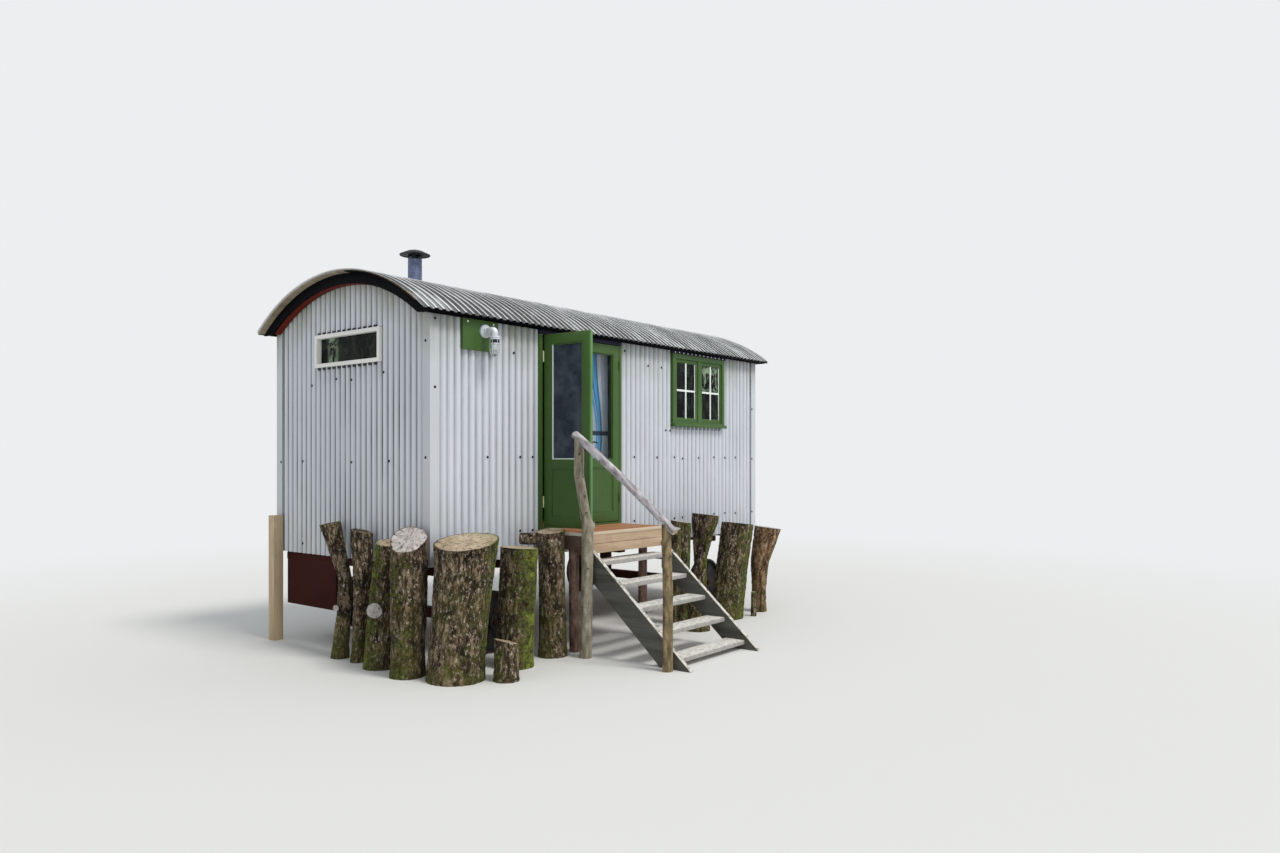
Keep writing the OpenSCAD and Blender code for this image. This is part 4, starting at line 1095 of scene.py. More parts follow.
windowWork = {"frame": 0.052, "post": 0.056, "sash": 0.034, "out": -0.008, "thick": 0.040, "bar": 0.021,
              "bead": 0.010, "paneHalf": 0.0024, "barOut": 0.014, "nails": 13, "nailIn": 0.04,
              "stayHalf": 0.10, "stayFoot": 0.06}


def sashes():  # the left edge of each sash, and how wide they are
    x, w, _, _ = windows["front"]
    wide = (w - 2 * windowWork["frame"] - windowWork["post"]) / 2
    return [(x + windowWork["frame"], wide), (x + (w + windowWork["post"]) / 2, wide)]


def frontWindow():
    x, w, z, h = windows["front"]
    g = windowWork
    pane = g["out"] + g["thick"] / 2
    work, rims, nails = Joinery(), Joinery(), Joinery()
    for left, wide in sashes():
        x0, x1 = left + g["sash"], left + wide - g["sash"]
        z0, z1 = z + g["frame"] + g["sash"], z + h - g["frame"] - g["sash"]
        mx, mz, half = (x0 + x1) / 2, (z0 + z1) / 2, g["bar"] / 2
        beads = fourSides(x0, x1, z0, z1, g["bead"])
        near, far = g["paneHalf"], g["barOut"]
        for y0, y1 in ((pane - far, pane - near), (pane + near, pane + far)):
            work.board(place(mx - half, y0, z0), place(mx + half, y1, z1), 0.003)
            for a, b in ((x0, mx - half), (mx + half, x1)):
                work.board(place(a, y0 + 0.001, mz - half), place(b, y1 - 0.001, mz + half), 0.003)
            for bead, (a, b, low, high) in zip((rims, work, rims, rims), beads):
                bead.board(place(a, y0 + 0.002, low), place(b, y1 - 0.001, high), 0.002)
    work.make("glazingBars", "hut", "white_paint", looks["bead"])
    rims.make("glazingRims", "hut", "green_paint", looks["green"])
    for k in range(g["nails"]):
        s = x + g["nailIn"] + k * (w - 2 * g["nailIn"]) / (g["nails"] - 1)
        nails.turned(place(s, -0.0221, z + h + 0.014), (0, -1, 0),
                     [(0.008, 0), (0.008, 0.001), (0.005, 0.0022)], 14)
    nails.make("headerNails", "hut", "white_paint", looks["bead"])


def windowStays():
    g = windowWork
    work = Joinery()
    inside = g["out"] + g["thick"]
    low = windows["front"][2] + g["frame"] + g["sash"] / 2
    for left, wide in sashes():
        middle = left + wide / 2
        work.rod([place(middle - g["stayHalf"], inside + 0.012, low), place(middle, inside + 0.016, low),
                  place(middle + g["stayHalf"], inside + 0.012, low)], [0.004, 0.005, 0.004], 10)
        for s in (middle - g["stayFoot"], middle + g["stayFoot"]):
            work.rod([place(s, inside, low), place(s, inside + 0.013, low)], 0.003, 8)
    work.make("windowStays", "hut", "pole_iron", looks["iron"])


frontWindow()
windowStays()
print("windows finished")


# Lamp on its board. The outlines give radius and height, some as shares of a named radius

lamp = {
    "x": 0.555, "y": -0.0233, "z": 2.7657, "baseR": 0.058, "armR": 0.030, "reach": 0.126, "bend": 0.030,
    "collarR": 0.044, "collarTop": -0.052, "collarLow": -0.080, "jarR": 0.034, "jarLow": -0.174,
    "wireR": 0.0024, "guardR": 0.041, "guards": 6, "boardScrews": (0.372, 0.655), "screwZ": 2.832,
    "base": [(1, 0), (1, 0.012), (0.94, 0.018), (0.6, 0.022)],
    "collar": [(0.94, 0), (1, 0.003), (1, 0.010), (0.92, 0.012), (0.92, 0.015), (1, 0.017)],
    "bulb": [(0.004, -0.158), (0.016, -0.152), (0.022, -0.138), (0.020, -0.122), (0.013, -0.105),
             (0.012, -0.084)],
    "seal": [(1.02, -0.024), (1.05, -0.022), (1.05, -0.002), (1, 0.002)],
    "foot": [(0.006, -0.040), (0.016, -0.037), (0.020, -0.030), (0.016, -0.026)],
}
lampBase = place(lamp["x"], lamp["y"], lamp["z"])
lampUnder = lampBase + Vector((0, -lamp["reach"], 0))
upwards = (0, 0, 1)


def lampBody():
    g = lamp
    body = Joinery()
    outline = [(g["baseR"] * share, z) for share, z in g["base"]]
    outline += [(g["armR"] * 1.12, 0.024), (g["armR"] * 1.12, 0.040), (g["armR"], 0.042)]
    body.turned(lampBase, (0, -1, 0), outline, 40)
    bend = g["bend"]
    path = [lampBase + Vector((0, -0.020, 0)), lampBase + Vector((0, -g["reach"] + bend, 0))]
    for k in range(1, 9):
        a = math.radians(90 * k / 8)
        path.append(lampBase + Vector((0, -g["reach"] + bend - bend * math.sin(a),
                                       -bend * (1 - math.cos(a)))))
    path.append(lampBase + Vector((0, -g["reach"], g["collarTop"] - 0.004)))
    body.rod(path, g["armR"] * 0.97, 28)
    c = g["collarR"]
    outline = [(c * share, g["collarLow"] + z) for share, z in g["collar"]]
    outline += [(c, g["collarTop"] - 0.004), (c * 0.8, g["collarTop"] + 0.002)]
    body.turned(lampUnder, upwards, outline, 36)
    body.make("lampBody", "hut", "galvanised_lamp", looks["galvanised"], ["wall_lamp"])


def lampGlass():
    g = lamp
    jar, bulb = Joinery(), Joinery()
    r = g["jarR"]
    outline = [(0.001, g["jarLow"] - 0.034)]
    outline += [(r * math.sin(math.radians(a)), g["jarLow"] - r * math.cos(math.radians(a)))
                for a in range(15, 91, 15)]
    outline += [(r, g["collarLow"] - 0.002), (r * 0.8, g["collarLow"] + 0.002)]
    jar.turned(lampUnder, upwards, outline, 32)
    jar.make("lampJar", "hut", "pane_glass", looks["jar"])
    bulb.turned(lampUnder, upwards, g["bulb"], 24)
    bulb.make("lampBulb", "hut", "galvanised_lamp", looks["bead"])


def lampGuard():
    g = lamp
    guard = Joinery()
    wire = [(g["collarR"] * 0.9, g["collarLow"] + 0.004), (g["guardR"], g["collarLow"] - 0.012),
            (g["guardR"], g["jarLow"]), (g["guardR"] * 0.8, g["jarLow"] - 0.024),
            (g["guardR"] * 0.35, g["jarLow"] - 0.035)]
    for k in range(g["guards"]):
        a = math.radians(360 / g["guards"] * k + 15)
        guard.rod([lampUnder + Vector((r * math.cos(a), r * math.sin(a), z)) for r, z in wire],
                  g["wireR"], 8)
    for r, z in ((g["guardR"], g["collarLow"] - 0.034), (g["guardR"], g["jarLow"] + 0.012),
                 (g["guardR"] * 0.4, g["jarLow"] - 0.034)):
        turns = np.linspace(0, 2 * math.pi, 28, endpoint=False)
        guard.rod([lampUnder + Vector((r * math.cos(a), r * math.sin(a), z)) for a in turns],
                  g["wireR"], 8, loop=True)
    guard.make("lampGuard", "hut", "galvanised_lamp", looks["galvanised"])


def lampFittings():  # the dark seals of the jar, and the screws of the board
    g = lamp
    seal, heads = Joinery(), Joinery()
    r = g["jarR"]
    seal.turned(lampUnder, upwards, [(r * share, g["collarLow"] + z) for share, z in g["seal"]], 32)
    seal.turned(lampUnder, upwards, [(wide, g["jarLow"] + z) for wide, z in g["foot"]], 24)
    seal.make("lampSeal", "hut", "flue_steel", looks["cap"])
    for s in g["boardScrews"]:
        heads.turned(place(s, -0.0231, g["screwZ"]), (0, -1, 0),
                     [(0.009, 0), (0.009, 0.001), (0.006, 0.003)], 14)
    heads.make("lampBoardScrews", "hut", "white_paint", looks["bead"])


lampBody()
lampGlass()
lampGuard()
lampFittings()
print("lamp made")


# Flue pipe with rolled ribs

flue = {"x": 1.090, "y": 1.600, "r": 0.069, "wall": 0.003, "low": 3.1942, "top": 3.680, "ribs": 8,
        "ribFrom": 0.240, "ribEvery": 0.030, "ribDeep": 0.0022}


def fluePipe():
    g = flue
    outside = [(g["r"], g["low"])]
    for k in range(g["ribs"]):
        z = g["top"] - g["ribFrom"] + k * g["ribEvery"]
        for t, d in ((0, 0), (0.0015, 0.7), (0.003, 1), (0.006, 1), (0.0075, 0.7), (0.009, 0)):
            outside.append((g["r"] - d * g["ribDeep"], z + t))
    outside.append((g["r"], g["top"] - 0.002))
    outside.append((g["r"] - g["wall"] / 2, g["top"]))
    inside = [(g["r"] - g["wall"], g["top"] - 0.001), (g["r"] - g["wall"], g["low"])]
    work = Joinery()
    work.turned(place(g["x"], g["y"], 0), (0, 0, 1), outside + inside, 56, closed=True)
    work.make("fluePipe", "hut", "flue_steel", looks["flue"], ["flue_pipe"])


fluePipe()
print("flue made")


# Grown timber: the same rings as in the CAD, but finer, with bark on them

def lookup(keys, t, c):
    for a, b in zip(keys, keys[1:]):
        if t <= b[0]:
            return a[c] + (b[c] - a[c]) * (t - a[0]) / (b[0] - a[0])
    return keys[-1][c]


def flute(a, t, seed, rough):
    return 1 + rough * (0.45 * math.sin(math.radians(3 * a + 50 * seed + 60 * t))
                        + 0.35 * math.sin(math.radians(5 * a + 110 * seed - 90 * t))
                        + 0.2 * math.sin(math.radians(2 * a + 70 * seed + 300 * t)))


grown = {"inside": 0.985, "crackWide": 0.16, "barkFrom": 0.002,
         "endRings": (0.985, 0.86, 0.70, 0.52, 0.34, 0.16)}


class GrownWood:  # gathers trunks, branches and poles with bark on them into one piece
    def __init__(self):
        self.points, self.faces, self.parts = [], [], []
        self.readings = {"crevice": [], "moss": [], "rim": [], "cutPlace": [], "alongWay": []}

    def add(self, point, *marks):  # the marks come in the order of the readings
        self.points.append(point)
        for row, mark in zip(self.readings.values(), marks):
            row.append(mark)

    # keys: share of the way, x, y, z, radius; parts: finish of the bark and of the ends;
    # knots: share of the way, bearing, size, rise; fissure: how often the bark cracks round and along
    def grow(self, keys, seed, rough, barkDeep, sides, rings, parts=(0, 1), side=(1, 0, 0), up=(0, 1, 0),
             slope=(0, 0), moss=None, knots=(), cadRings=8, fissure=(16, 3.2)):
        side, up = Vector(side), Vector(up)
        ahead = side.cross(up)
        first = len(self.points)
        long = (Vector(keys[-1][1:4]) - Vector(keys[0][1:4])).length
        peeled = barkDeep < grown["barkFrom"]
        cracked = 0.1 if peeled else 1.0
        for k in range(rings + 1):
            t = k / rings
            centre = Vector([lookup(keys, t, c) for c in (1, 2, 3)])
            r = lookup(keys, t, 4)
            lift = max(0.0, min(1.0, (t - (1 - 1 / cadRings)) * cadRings))
            for i in range(sides):
                a = 360 * i / sides
                ca, sa = math.cos(math.radians(a)), math.sin(math.radians(a))
                whole = r * flute(a, t, seed, rough)
                where = Vector((ca * r * fissure[0], sa * r * fissure[0],
                                t * long * fissure[1] + seed * 3.7))
                plate = noise.noise(where) + 0.45 * noise.noise(where * 2.1)
                crack = max(0.0, 1 - abs(plate) / grown["crackWide"]) * cracked
                lump = noise.noise(Vector((ca * 1.7 + seed, sa * 1.7, t * long * 3.1)))
                fine = noise.noise(Vector((ca * r * 60, sa * r * 60, t * long * 34 + seed)))
                q = whole * grown["inside"] - barkDeep * (0.7 * crack + 0.35 + 0.35 * lump + 0.35 * fine)
                q = min(q, whole)
                for kt, ka, size, rise in knots:
                    turned = math.radians((a - ka + 180) % 360 - 180) * r
                    near = ((t - kt) * long) ** 2 + turned ** 2
                    q += rise * math.exp(-near / size ** 2)
                    ring = (0.6 if peeled else 0.35) * size
                    crack = max(crack, 0.9 * math.exp(-near / ring ** 2))
                amount = 0.0
                if moss:
                    facing = ca * moss["towards"][0] + sa * moss["towards"][1]
                    amount = moss["amount"] * max(0.0, facing + moss["spread"])
                    amount += moss["low"] * max(0.0, 0.35 - t) + moss["high"] * max(0.0, t - 0.7)
                leaning = lift * q * (slope[0] * ca + slope[1] * sa)
                self.add(centre + q * (ca * side + sa * up) + leaning * ahead, crack, amount, 1.0,
                         (q * ca, q * sa, seed * 1.7), t * long)
        for k in range(rings):
            self.faces += band(first + k * sides, first + (k + 1) * sides, sides)
        self.parts += [parts[0]] * (rings * sides)
        for end in (0, 1):
            self.sawn(first + end * rings * sides, sides, end, parts[1], side, up, seed, long)

    def sawn(self, outer, sides, end, part, side, up, seed, long):  # rings of faces that close an end
        rim = range(outer, outer + sides)
        centre = sum((self.points[i] for i in rim), Vector()) / sides
        last = outer
        for share in grown["endRings"]:
            start = len(self.points)
            for i in rim:
                q = (self.points[i] - centre) * share
                self.add(centre + q, 0.0, self.readings["moss"][i], share,
                         (q.dot(side), q.dot(up), seed * 1.7), end * long)
            quads = band(last, start, sides)
            self.faces += quads if end else [quad[::-1] for quad in quads]
            self.parts += [part] * sides
            last = start
        middle = list(range(last, last + sides))
        self.faces.append(middle if end else middle[::-1])
        self.parts.append(part)

    def make(self, name, slot, finish, replaces):
        points = [corner + p for p in self.points]
        addPiece(name, points, self.faces, "hut", finish, self.readings, self.parts, replaces, 55)


floorZ = hut["floor"]
plainMoss = {"towards": (0.93, -0.37), "amount": 0.75, "spread": -0.3, "low": 0.7, "high": 0.0}
edgeMoss = {"towards": (0.93, -0.37), "amount": 1.25, "spread": -0.12, "low": 0.6, "high": 0.5}
greenMoss = {"towards": (0.93, -0.37), "amount": 0.8, "spread": 1.0, "low": 0.6, "high": 0.3}
leftMoss = {"towards": (-0.90, 0.44), "amount": 1.0, "spread": 0.0, "low": 0.7, "high": 0.3}
oliveMoss = {"towards": (-0.99, 0.12), "amount": 0.55, "spread": 0.05, "low": 0.7, "high": -0.2}
shadeMoss = {"towards": (0.62, -0.79), "amount": 0.75, "spread": 0.30, "low": 0.7, "high": 0.1}
# Each trunk: where it stands, its height, its shape as (share of the height, shift along x,
# shift along y, radius), seed, slope of the cut, roughness, finish of the cut, moss, knots
trunks = {
    "left": [
        (-0.125, 1.040, floorZ + 0.080, [(0, 0, 0, 0.084), (0.1, 0, -0.010, 0.074),
         (0.4, 0, -0.066, 0.060), (0.6, 0, -0.070, 0.060), (0.82, 0, 0.050, 0.078),
         (1, 0, 0.150, 0.092)], 1, (0.1, -0.2), 0.05, "rough", plainMoss, ((0.45, 200, 0.05, 0.012),)),
        (-0.128, 0.780, floorZ + 0.034, [(0, 0, 0, 0.070), (0.12, 0, -0.008, 0.060),
         (0.4, -0.002, -0.050, 0.070), (0.65, 0, -0.066, 0.082), (0.88, 0.003, -0.052, 0.093),
         (1, 0.003, -0.045, 0.092)], 4, (-0.1, 0.2), 0.05, "rough", plainMoss, ((0.7, 240, 0.05, 0.012),)),
        (-0.150, 0.455, floorZ - 0.041, [(0, 0, 0, 0.132), (0.12, 0, -0.006, 0.122),
         (0.45, 0, -0.028, 0.108), (0.7, 0, -0.050, 0.098), (1, 0.010, -0.075, 0.084)],
         7, (0.15, 0.25), 0.05, "cutEnd", leftMoss, ((0.2, 250, 0.06, 0.015),)),
        (-0.190, 0.030, floorZ + 0.008, [(0, 0, 0.010, 0.144), (0.12, 0, 0.008, 0.138),
         (0.5, 0, 0, 0.148), (0.85, 0, -0.004, 0.152), (1, 0, -0.006, 0.148)],
         3, (0.5, 0.42), 0.05, "greyEnd", oliveMoss,
         ((0.42, 278, 0.050, 0.025), (0.17, 232, 0.026, 0.022), (0.30, 200, 0.030, 0.015))),
        (-0.030, -0.345, floorZ - 0.009, [(0, 0, 0, 0.236), (0.12, 0.006, 0, 0.226),
         (0.5, 0.050, 0, 0.226), (0.85, 0.094, 0, 0.240), (1, 0.108, 0, 0.258)],
         9, (0.19, 0.09), 0.035, "cutEnd", edgeMoss,
         ((0.74, 290, 0.055, 0.025), (0.72, 272, 0.028, 0.018), (0.69, 300, 0.026, 0.016))),
    ],
    "front": [
        (0.562, -0.372, floorZ - 0.092, [(0, 0, 0, 0.168), (0.12, 0.003, 0, 0.160),
         (0.5, 0.026, 0, 0.156), (1, 0.054, 0, 0.162)], 11, (-0.06, 0.03), 0.05, "cutEnd", greenMoss, ()),
        (1.040, -0.332, floorZ + 0.016, [(0, 0.010, 0, 0.132), (0.12, 0.010, 0, 0.122),
         (0.5, 0.006, 0, 0.120), (0.85, -0.004, 0, 0.122), (1, -0.010, 0, 0.126)],
         12, (0.14, 0.05), 0.05, "cutEnd", edgeMoss, ((0.4, 270, 0.04, 0.012),)),
        (0.190, -0.672, 0.300, [(0, 0, 0, 0.104), (0.3, 0, 0, 0.098), (1, 0, 0, 0.096)],
         13, (-0.25, 0.1), 0.05, "cutEnd", oliveMoss, ()),
    ],
    "right": [
        (2.705, -0.415, floorZ - 0.056, [(0, 0, 0, 0.066), (0.5, 0.008, 0, 0.060),
         (1, 0.016, 0, 0.062)], 10, (0.1, 0.2), 0.05, "greyEnd", shadeMoss, ()),
        (2.980, -0.300, floorZ - 0.008, [(0, 0, 0, 0.112), (0.5, -0.004, 0, 0.102),
         (1, 0.003, 0, 0.108)], 14, (-0.1, 0.12), 0.05, "greyEnd", shadeMoss, ()),
        (3.316, -0.300, floorZ + 0.042, [(0, -0.008, 0, 0.090), (0.15, 0, 0, 0.078),
         (0.6, 0.024, 0, 0.076), (0.8, 0.068, 0, 0.112), (0.92, 0.104, 0, 0.142),
         (1, 0.122, 0, 0.148)], 15, (-0.12, 0.05), 0.05, "cutEnd", shadeMoss, ()),
        (3.576, -0.464, floorZ - 0.062, [(0, 0, 0, 0.190), (0.12, 0.018, 0, 0.184),
         (0.5, 0.105, 0, 0.178), (0.85, 0.190, 0, 0.182), (1, 0.222, 0, 0.180)],
         17, (-0.12, 0.03), 0.05, "greyEnd", shadeMoss, ((0.5, 200, 0.05, 0.02),)),
        (4.165, -0.518, floorZ - 0.138, [(0, 0, 0, 0.090), (0.12, 0, 0, 0.082),
         (0.37, 0, 0, 0.090), (0.59, 0.014, 0, 0.108), (0.82, 0.115, 0, 0.140),
         (1, 0.192, 0, 0.152)], 19, (-0.1, 0.1), 0.05, "smooth", plainMoss, ()),
        (2.800, -0.640, 0.330, [(0, 0, 0, 0.122), (0.4, 0, 0, 0.114), (1, -0.010, 0, 0.108)],
         20, (-0.3, 0.1), 0.05, "cutEnd", plainMoss, ()),
        (3.850, -0.640, 0.260, [(0, 0, 0, 0.034), (1, 0, 0, 0.030)], 18, (0, 0), 0.05, "cutEnd",
         plainMoss, ()),
    ],
}
# Sawn branches: root, bearing, reach, radius at the root and at the cut, seed, finish of the cut
branches = {
    "left": [((-0.125, 1.000, 0.440), 205, 0.112, 0.036, 0.030, 21, "greyEnd"),
             ((-0.150, 0.440, 0.490), 218, 0.168, 0.074, 0.066, 22, "greyEnd")],
    "front": [((1.035, -0.332, floorZ - 0.050), 128, 0.270, 0.064, 0.050, 16, "cutEnd")],
    "right": [],
}


def logRow(group):
    logs = GrownWood()
    ends = {"cutEnd": (0, 1), "greyEnd": (0, 2), "rough": (0, 0), "smooth": (3, 2)}
    for x, y, high, shape, seed, slope, rough, end, moss, knots in trunks[group]:
        wide = max(k[3] for k in shape)
        keys = [(k[0], x + k[1], y + k[2], k[0] * high, k[3]) for k in shape]
        logs.grow(keys, seed, rough, barkDeep=min(0.013, wide * 0.09), sides=int(56 + wide * 320),
                  rings=int(26 + high * 70), parts=ends[end], slope=slope, moss=moss, knots=knots)
    for (x, y, z), away, reach, rootR, cutR, seed, end in branches[group]:
        dx, dy = math.cos(math.radians(away)), math.sin(math.radians(away))
        keys = [(0, x, y, z, rootR), (1, x + reach * dx, y + reach * dy, z, cutR)]
        logs.grow(keys, seed, rough=0.05, barkDeep=0.004, sides=44, rings=24, parts=ends[end],
                  side=(0, 0, 1), up=(dy, -dx, 0), cadRings=4)
    finishes = [looks[name] for name in ("bark", "cutEnd", "greyEnd", "smoothBark")]
    logs.make(group + "Stumps", "bark", finishes, [group + "_logs"])


for group in trunks:
    logRow(group)
print("stumps made")


# Handrail of poles and the posts under the landing

landing = {"x": 1.180, "width": 1.165, "depth": 0.560, "thick": 0.030, "z": 1.060, "fasciaHigh": 0.160,
           "fasciaThick": 0.040, "boards": 5, "postR": 0.046, "seam": 0.48}
stair = {"x": 1.270, "width": 1.075, "rise": 0.181, "going": 0.210, "first": 0.083, "treadDeep": 0.200,
         "treadThick": 0.038, "stringHigh": 0.200, "stringThick": 0.042, "count": 5, "cleat": 0.022}
stair["backY"] = -landing["depth"] - hut["fit"]
stair["noseY"] = stair["backY"] - 0.090
rail = {"upperY": -landing["depth"] - 0.048, "lowerY": -1.456, "postX": 1.200, "topZ": 1.867,
        "footZ": 1.175, "poleR": 0.034, "shadeSide": 0.055, "fissure": (14, 9)}
rail["headY"] = rail["upperY"] - rail["shadeSide"]


def railPosts():
    x, y, head, ly = rail["postX"], rail["upperY"], rail["headY"], rail["lowerY"]
    posts = GrownWood()
    posts.grow([(0, x - 0.030, y, 0, 0.054), (0.3, x - 0.012, y, 0.570, 0.050),
                (0.58, x, y, 1.110, 0.054), (0.66, x - 0.036, y, 1.230, 0.046),
                (0.84, x - 0.125, y - 0.010, 1.567, 0.044), (1, x - 0.170, head, rail["topZ"], 0.042)],
               seed=2, rough=0.05, barkDeep=0.0015, sides=44, rings=140, cadRings=14,
               fissure=rail["fissure"],
               knots=((0.595, 318, 0.030, 0.022), (0.665, 235, 0.017, 0.006),
                      (0.74, 250, 0.020, 0.009), (0.83, 262, 0.016, 0.006),
                      (0.93, 225, 0.022, 0.008), (0.4, 230, 0.020, 0.006)))
    posts.grow([(0, x, ly, 0, 0.044), (0.5, x + 0.006, ly, 0.600, 0.041),
                (1, x - 0.015, ly, rail["footZ"], 0.039)],
               seed=6, rough=0.06, barkDeep=0.0015, sides=40, rings=90, parts=(2, 1), cadRings=10,
               fissure=rail["fissure"],
               knots=((0.78, 260, 0.018, 0.006), (0.5, 285, 0.018, 0.007), (0.64, 225, 0.015, 0.005)))
    posts.make("railPosts", "pole_bark", [looks["greyPole"], looks["poleEnd"], looks["tanPole"]],
               ["handrail_posts"])


def railPole():
    x, head, foot = rail["postX"], rail["headY"], rail["lowerY"]
    top, low, r = rail["topZ"], rail["footZ"], rail["poleR"]
    runY, fall = foot - head, top - low
    away = math.hypot(runY, fall)
    pole = GrownWood()
    pole.grow([(0, x - 0.179, head + 0.045, top + 0.036, r),
               (0.07, x - 0.169, head - 0.020, top - 0.014, r + 0.003),
               (0.5, x - 0.084, head + runY / 2, (top + low) / 2 + 0.014, r),
               (1, x - 0.008, foot - 0.080, low - 0.062, r - 0.003)],
              seed=8, rough=0.05, barkDeep=0.0012, sides=36, rings=110, cadRings=14,
              up=(0, -fall / away, -runY / away), fissure=rail["fissure"],
              knots=((0.3, 200, 0.018, 0.006), (0.48, 250, 0.020, 0.006), (0.52, 160, 0.016, 0.005),
                     (0.7, 190, 0.016, 0.006)))
    pole.make("railPole", "pole_bark", [looks["palePole"], looks["poleEnd"]], ["pole_handrail"])


def landingPosts():
    top = landing["z"] - landing["thick"]
    r = landing["postR"]
    back = stair["noseY"] + stair["treadDeep"] + r + 0.030
    x0 = landing["x"] + landing["fasciaThick"] + r + 0.008
    x1 = landing["x"] + landing["width"] - landing["fasciaThick"] - r - 0.004
    posts = GrownWood()
    posts.grow([(0, x0 + 0.026, back + 0.010, 0, r + 0.004), (0.5, x0 + 0.006, back + 0.004, top / 2, r),
                (1, x0, back, top, r)],
               seed=3, rough=0.06, barkDeep=0.0018, sides=40, rings=70, cadRings=6,
               knots=((0.55, 215, 0.018, 0.006),))
    posts.grow([(0, x1, back + 0.006, 0, r), (1, x1, back, top, r - 0.005)],
               seed=5, rough=0.06, barkDeep=0.0018, sides=40, rings=70, cadRings=5,
               knots=((0.7, 250, 0.016, 0.005),))
    posts.make("landingPosts", "bark", [looks["brownPole"], looks["cutEnd"]], ["landing_posts"])


railPosts()
railPole()
landingPosts()
print("poles made")


# Landing and stair

def landingWork():
    random.seed(11)
    boards, beams = Joinery(), Joinery()
    x0, x1, y0 = landing["x"], landing["x"] + landing["width"], -landing["depth"]
    top = landing["z"] - landing["thick"]
    thick, high = landing["fasciaThick"], landing["fasciaHigh"]
    each = (landing["depth"] - hut["fit"]) / landing["boards"]
    for i in range(landing["boards"]):
        y = y0 + i * each
        boards.board(place(x0, y + 0.002, top), place(x1, y + each - 0.002, landing["z"]), soft=0.004,
                     shade=random.random(), cuts=6, warp=0.0012, seed=i)
    boards.make("landingBoards", "hut", "landing_wood", looks["landingTop"], ["landing_boards"])
    seam = top - high * landing["seam"]
    for z0, z1, shade in ((top - high, seam - 0.001, 0.35), (seam + 0.001, top, 0.1)):
        beams.board(place(x0, y0, z0), place(x1, y0 + thick, z1), soft=0.0025, shade=shade, cuts=8,
                    warp=0.0012, seed=3 + shade)
    for x in (x0, x0 + landing["width"] / 2, x0 + landing["width"] - thick):
        beams.board(place(x, y0 + thick + 0.001, top - 0.120), place(x + thick, -hut["fit"], top),
                    soft=0.003, shade=random.random(), cuts=4, warp=0.001, seed=5)
    beams.make("landingBeams", "hut", "raw_pine", looks["fascia"], ["landing_beams"])


def stairSide(work, x, topLine, slope):
    back = stair["backY"]
    lowLine = topLine - stair["stringHigh"] / math.cos(math.atan(slope))
    outline = [(back, topLine), (back, lowLine), (back - lowLine / slope, 0), (back - topLine / slope, 0)]
    bm = bmesh.new()
    near = [bm.verts.new(place(x, y, z)) for y, z in outline]
    far = [bm.verts.new(place(x + stair["stringThick"], y, z)) for y, z in outline]
    bm.faces.new(near)
    bm.faces.new(far[::-1])
    for i in range(4):
        j = (i + 1) % 4
        bm.faces.new([near[j], near[i], far[i], far[j]])
    bmesh.ops.recalc_face_normals(bm, faces=bm.faces)
    bmesh.ops.bevel(bm, geom=list(bm.edges), offset=0.003, segments=2, affect="EDGES")

    def rubbed(point):  # worn along the upper edge
        p = point - corner
        return 1.0 if p.z > topLine + (p.y - back) * slope - 0.0015 else 0.0

    work.take(bm, rubbed)


def stairWork():
    random.seed(12)
    treads, sides = Joinery(), Joinery()
    thick, cleat, going = stair["stringThick"], stair["cleat"], stair["going"]
    topZ = stair["first"] + (stair["count"] - 1) * stair["rise"]
    for i in range(stair["count"]):
        y, z = stair["noseY"] - i * going, topZ - i * stair["rise"]
        treads.board(place(stair["x"] + thick, y, z - stair["treadThick"]),
                     place(stair["x"] + stair["width"] - thick, y + stair["treadDeep"], z),
                     soft=0.006, shade=random.random(), cuts=10, warp=0.002, seed=i + 20, worn=0.8)
    treads.make("treads", "hut", "tread_wood", looks["tread"], ["stair_treads"])
    slope = stair["rise"] / going
    topLine = topZ + (stair["backY"] - stair["noseY"]) * slope + 0.030 / math.cos(math.atan(slope))
    for s in (0, 1):
        x = stair["x"] + s * (stair["width"] - thick)
        stairSide(sides, x, topLine, slope)
        inner = x + thick if s == 0 else x - cleat
        for i in range(stair["count"] - 1):
            y = stair["noseY"] - i * going + 0.025
            z = topZ - i * stair["rise"] - stair["treadThick"]
            sides.board(place(inner, y, z - 0.026), place(inner + cleat, y + stair["treadDeep"] - 0.060, z),
                        0.002)
    sides.make("stairSides", "hut", "weathered_wood", looks["string"], ["stair_strings"])


landingWork()
stairWork()
print("landing and stair made")


# Curtain behind the right door leaf

curtain = {"left": 1.826, "right": 2.326, "top": 2.7695, "foot": 1.215, "y": 0.1421, "deep": 0.0195,
           "cloth": 0.94, "folds": 9, "tieZ": 1.95, "tieWide": 0.27, "tieHalf": 0.022, "rows": 60,
           "columns": 260, "broadStripe": 0.62, "thinStripe": 0.124}


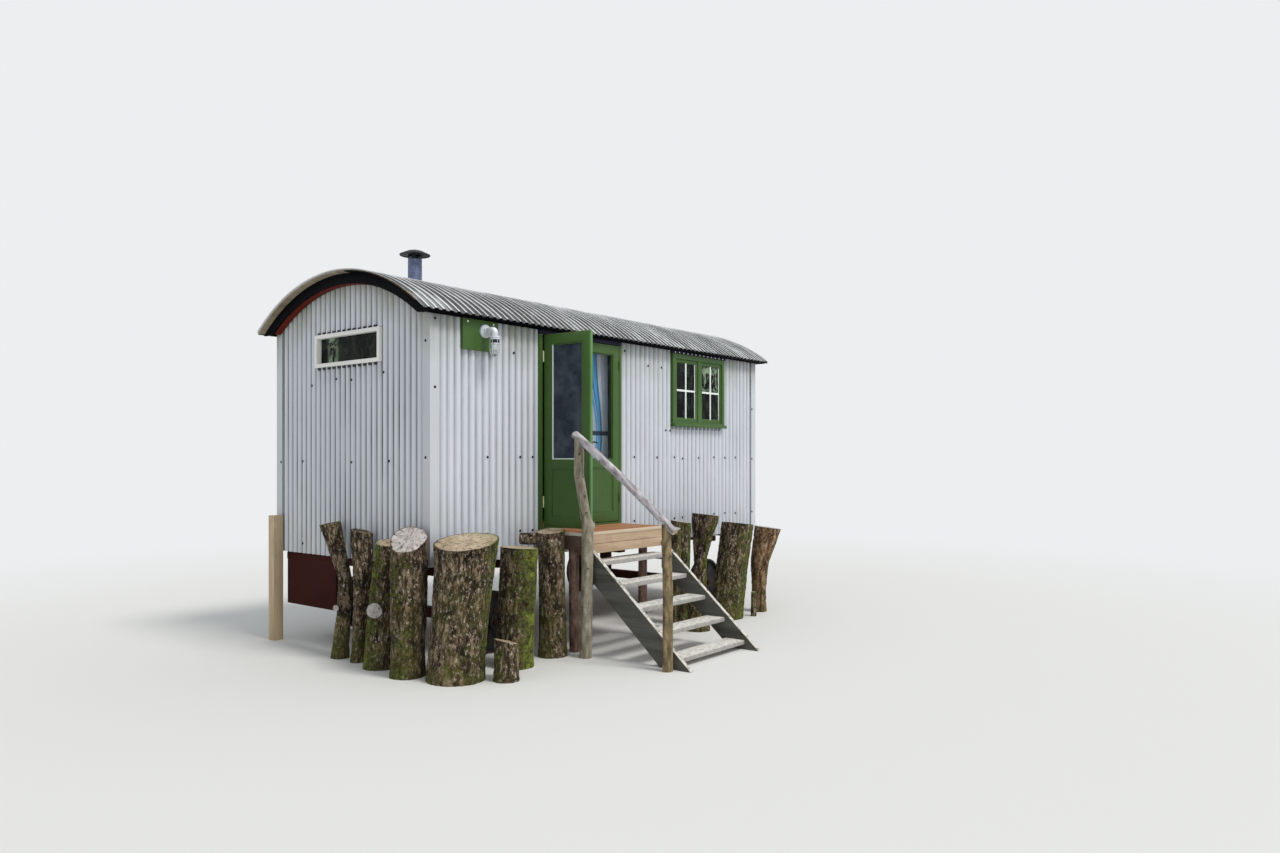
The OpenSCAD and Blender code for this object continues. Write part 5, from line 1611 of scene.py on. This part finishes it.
def curtainLook(name):
    look = Look(name, 0.85, "#6dbcea")
    across = look.reading("acrossCloth")
    broad = look.maths("SINE", look.times(across, 2 * math.pi / curtain["broadStripe"]))
    thin = look.maths("SINE", look.times(across, 2 * math.pi / curtain["thinStripe"]))
    weave = look.cloud(900, 1)
    look.coat("#f6f7fa", broad, -0.05, 0.05)
    look.coat("#d6e9f4", thin, 0.5, 0.62, 0.85)
    look.coat("#2b6ea3", thin, -0.86, -0.93, 0.8)
    look.coat("#a9bcc9", weave, 0.4, 0.8, 0.2)
    low, high = curtain["tieZ"] - curtain["tieHalf"], curtain["tieZ"] + curtain["tieHalf"]
    look.coat("#23364c", look.times(look.zone((None, None, low), (None, None, high), 0.003), 0.9))
    look.give("Sheen Weight", 0.25)
    return look.finish((weave, 0.0004))


def foldDepth(wide, folds, cloth):
    low, high = 0.0, 0.06
    for _ in range(30):
        mid = (low + high) / 2
        t = np.linspace(0, 1, 400)
        run = np.hypot(np.diff(t * wide), np.diff(mid * np.sin(2 * math.pi * folds * t))).sum()
        low, high = (mid, high) if run < cloth else (low, mid)
    return (low + high) / 2


def curtainWide(z):
    full = curtain["right"] - curtain["left"]
    pull = math.exp(-((z - curtain["tieZ"]) / 0.46) ** 2)
    if z < curtain["tieZ"]:
        pull = max(pull, 0.5 + 0.5 * math.exp(-((z - curtain["tieZ"]) / 0.2) ** 2))
    return full + (curtain["tieWide"] - full) * pull


def hangCurtain():
    rows, columns = curtain["rows"], curtain["columns"]
    points, faces, across = [], [], []
    for r in range(rows + 1):
        z = curtain["top"] + (curtain["foot"] - curtain["top"]) * r / rows
        wide = curtainWide(z)
        deep = min(curtain["deep"], foldDepth(wide, curtain["folds"], curtain["cloth"]))
        for c in range(columns + 1):
            t = c / columns
            wobble = 0.5 * noise.noise(Vector((t * 4, z * 1.3, 2)))
            x = curtain["right"] - wide * (1 - t)
            y = curtain["y"] + deep * math.sin(2 * math.pi * curtain["folds"] * t + wobble)
            points.append(place(x, y, z))
            across.append(t * curtain["cloth"])
    stride = columns + 1
    for r in range(rows):
        for k in range(r * stride, r * stride + columns):
            faces.append([k, k + 1, k + stride + 1, k + stride])
    cloth = addPiece("doorCurtain", points, faces, "hut", curtainLook("stripedCotton"),
                     readings={"acrossCloth": across}, replaces=["door_curtain"])


hangCurtain()
print("curtain hung")
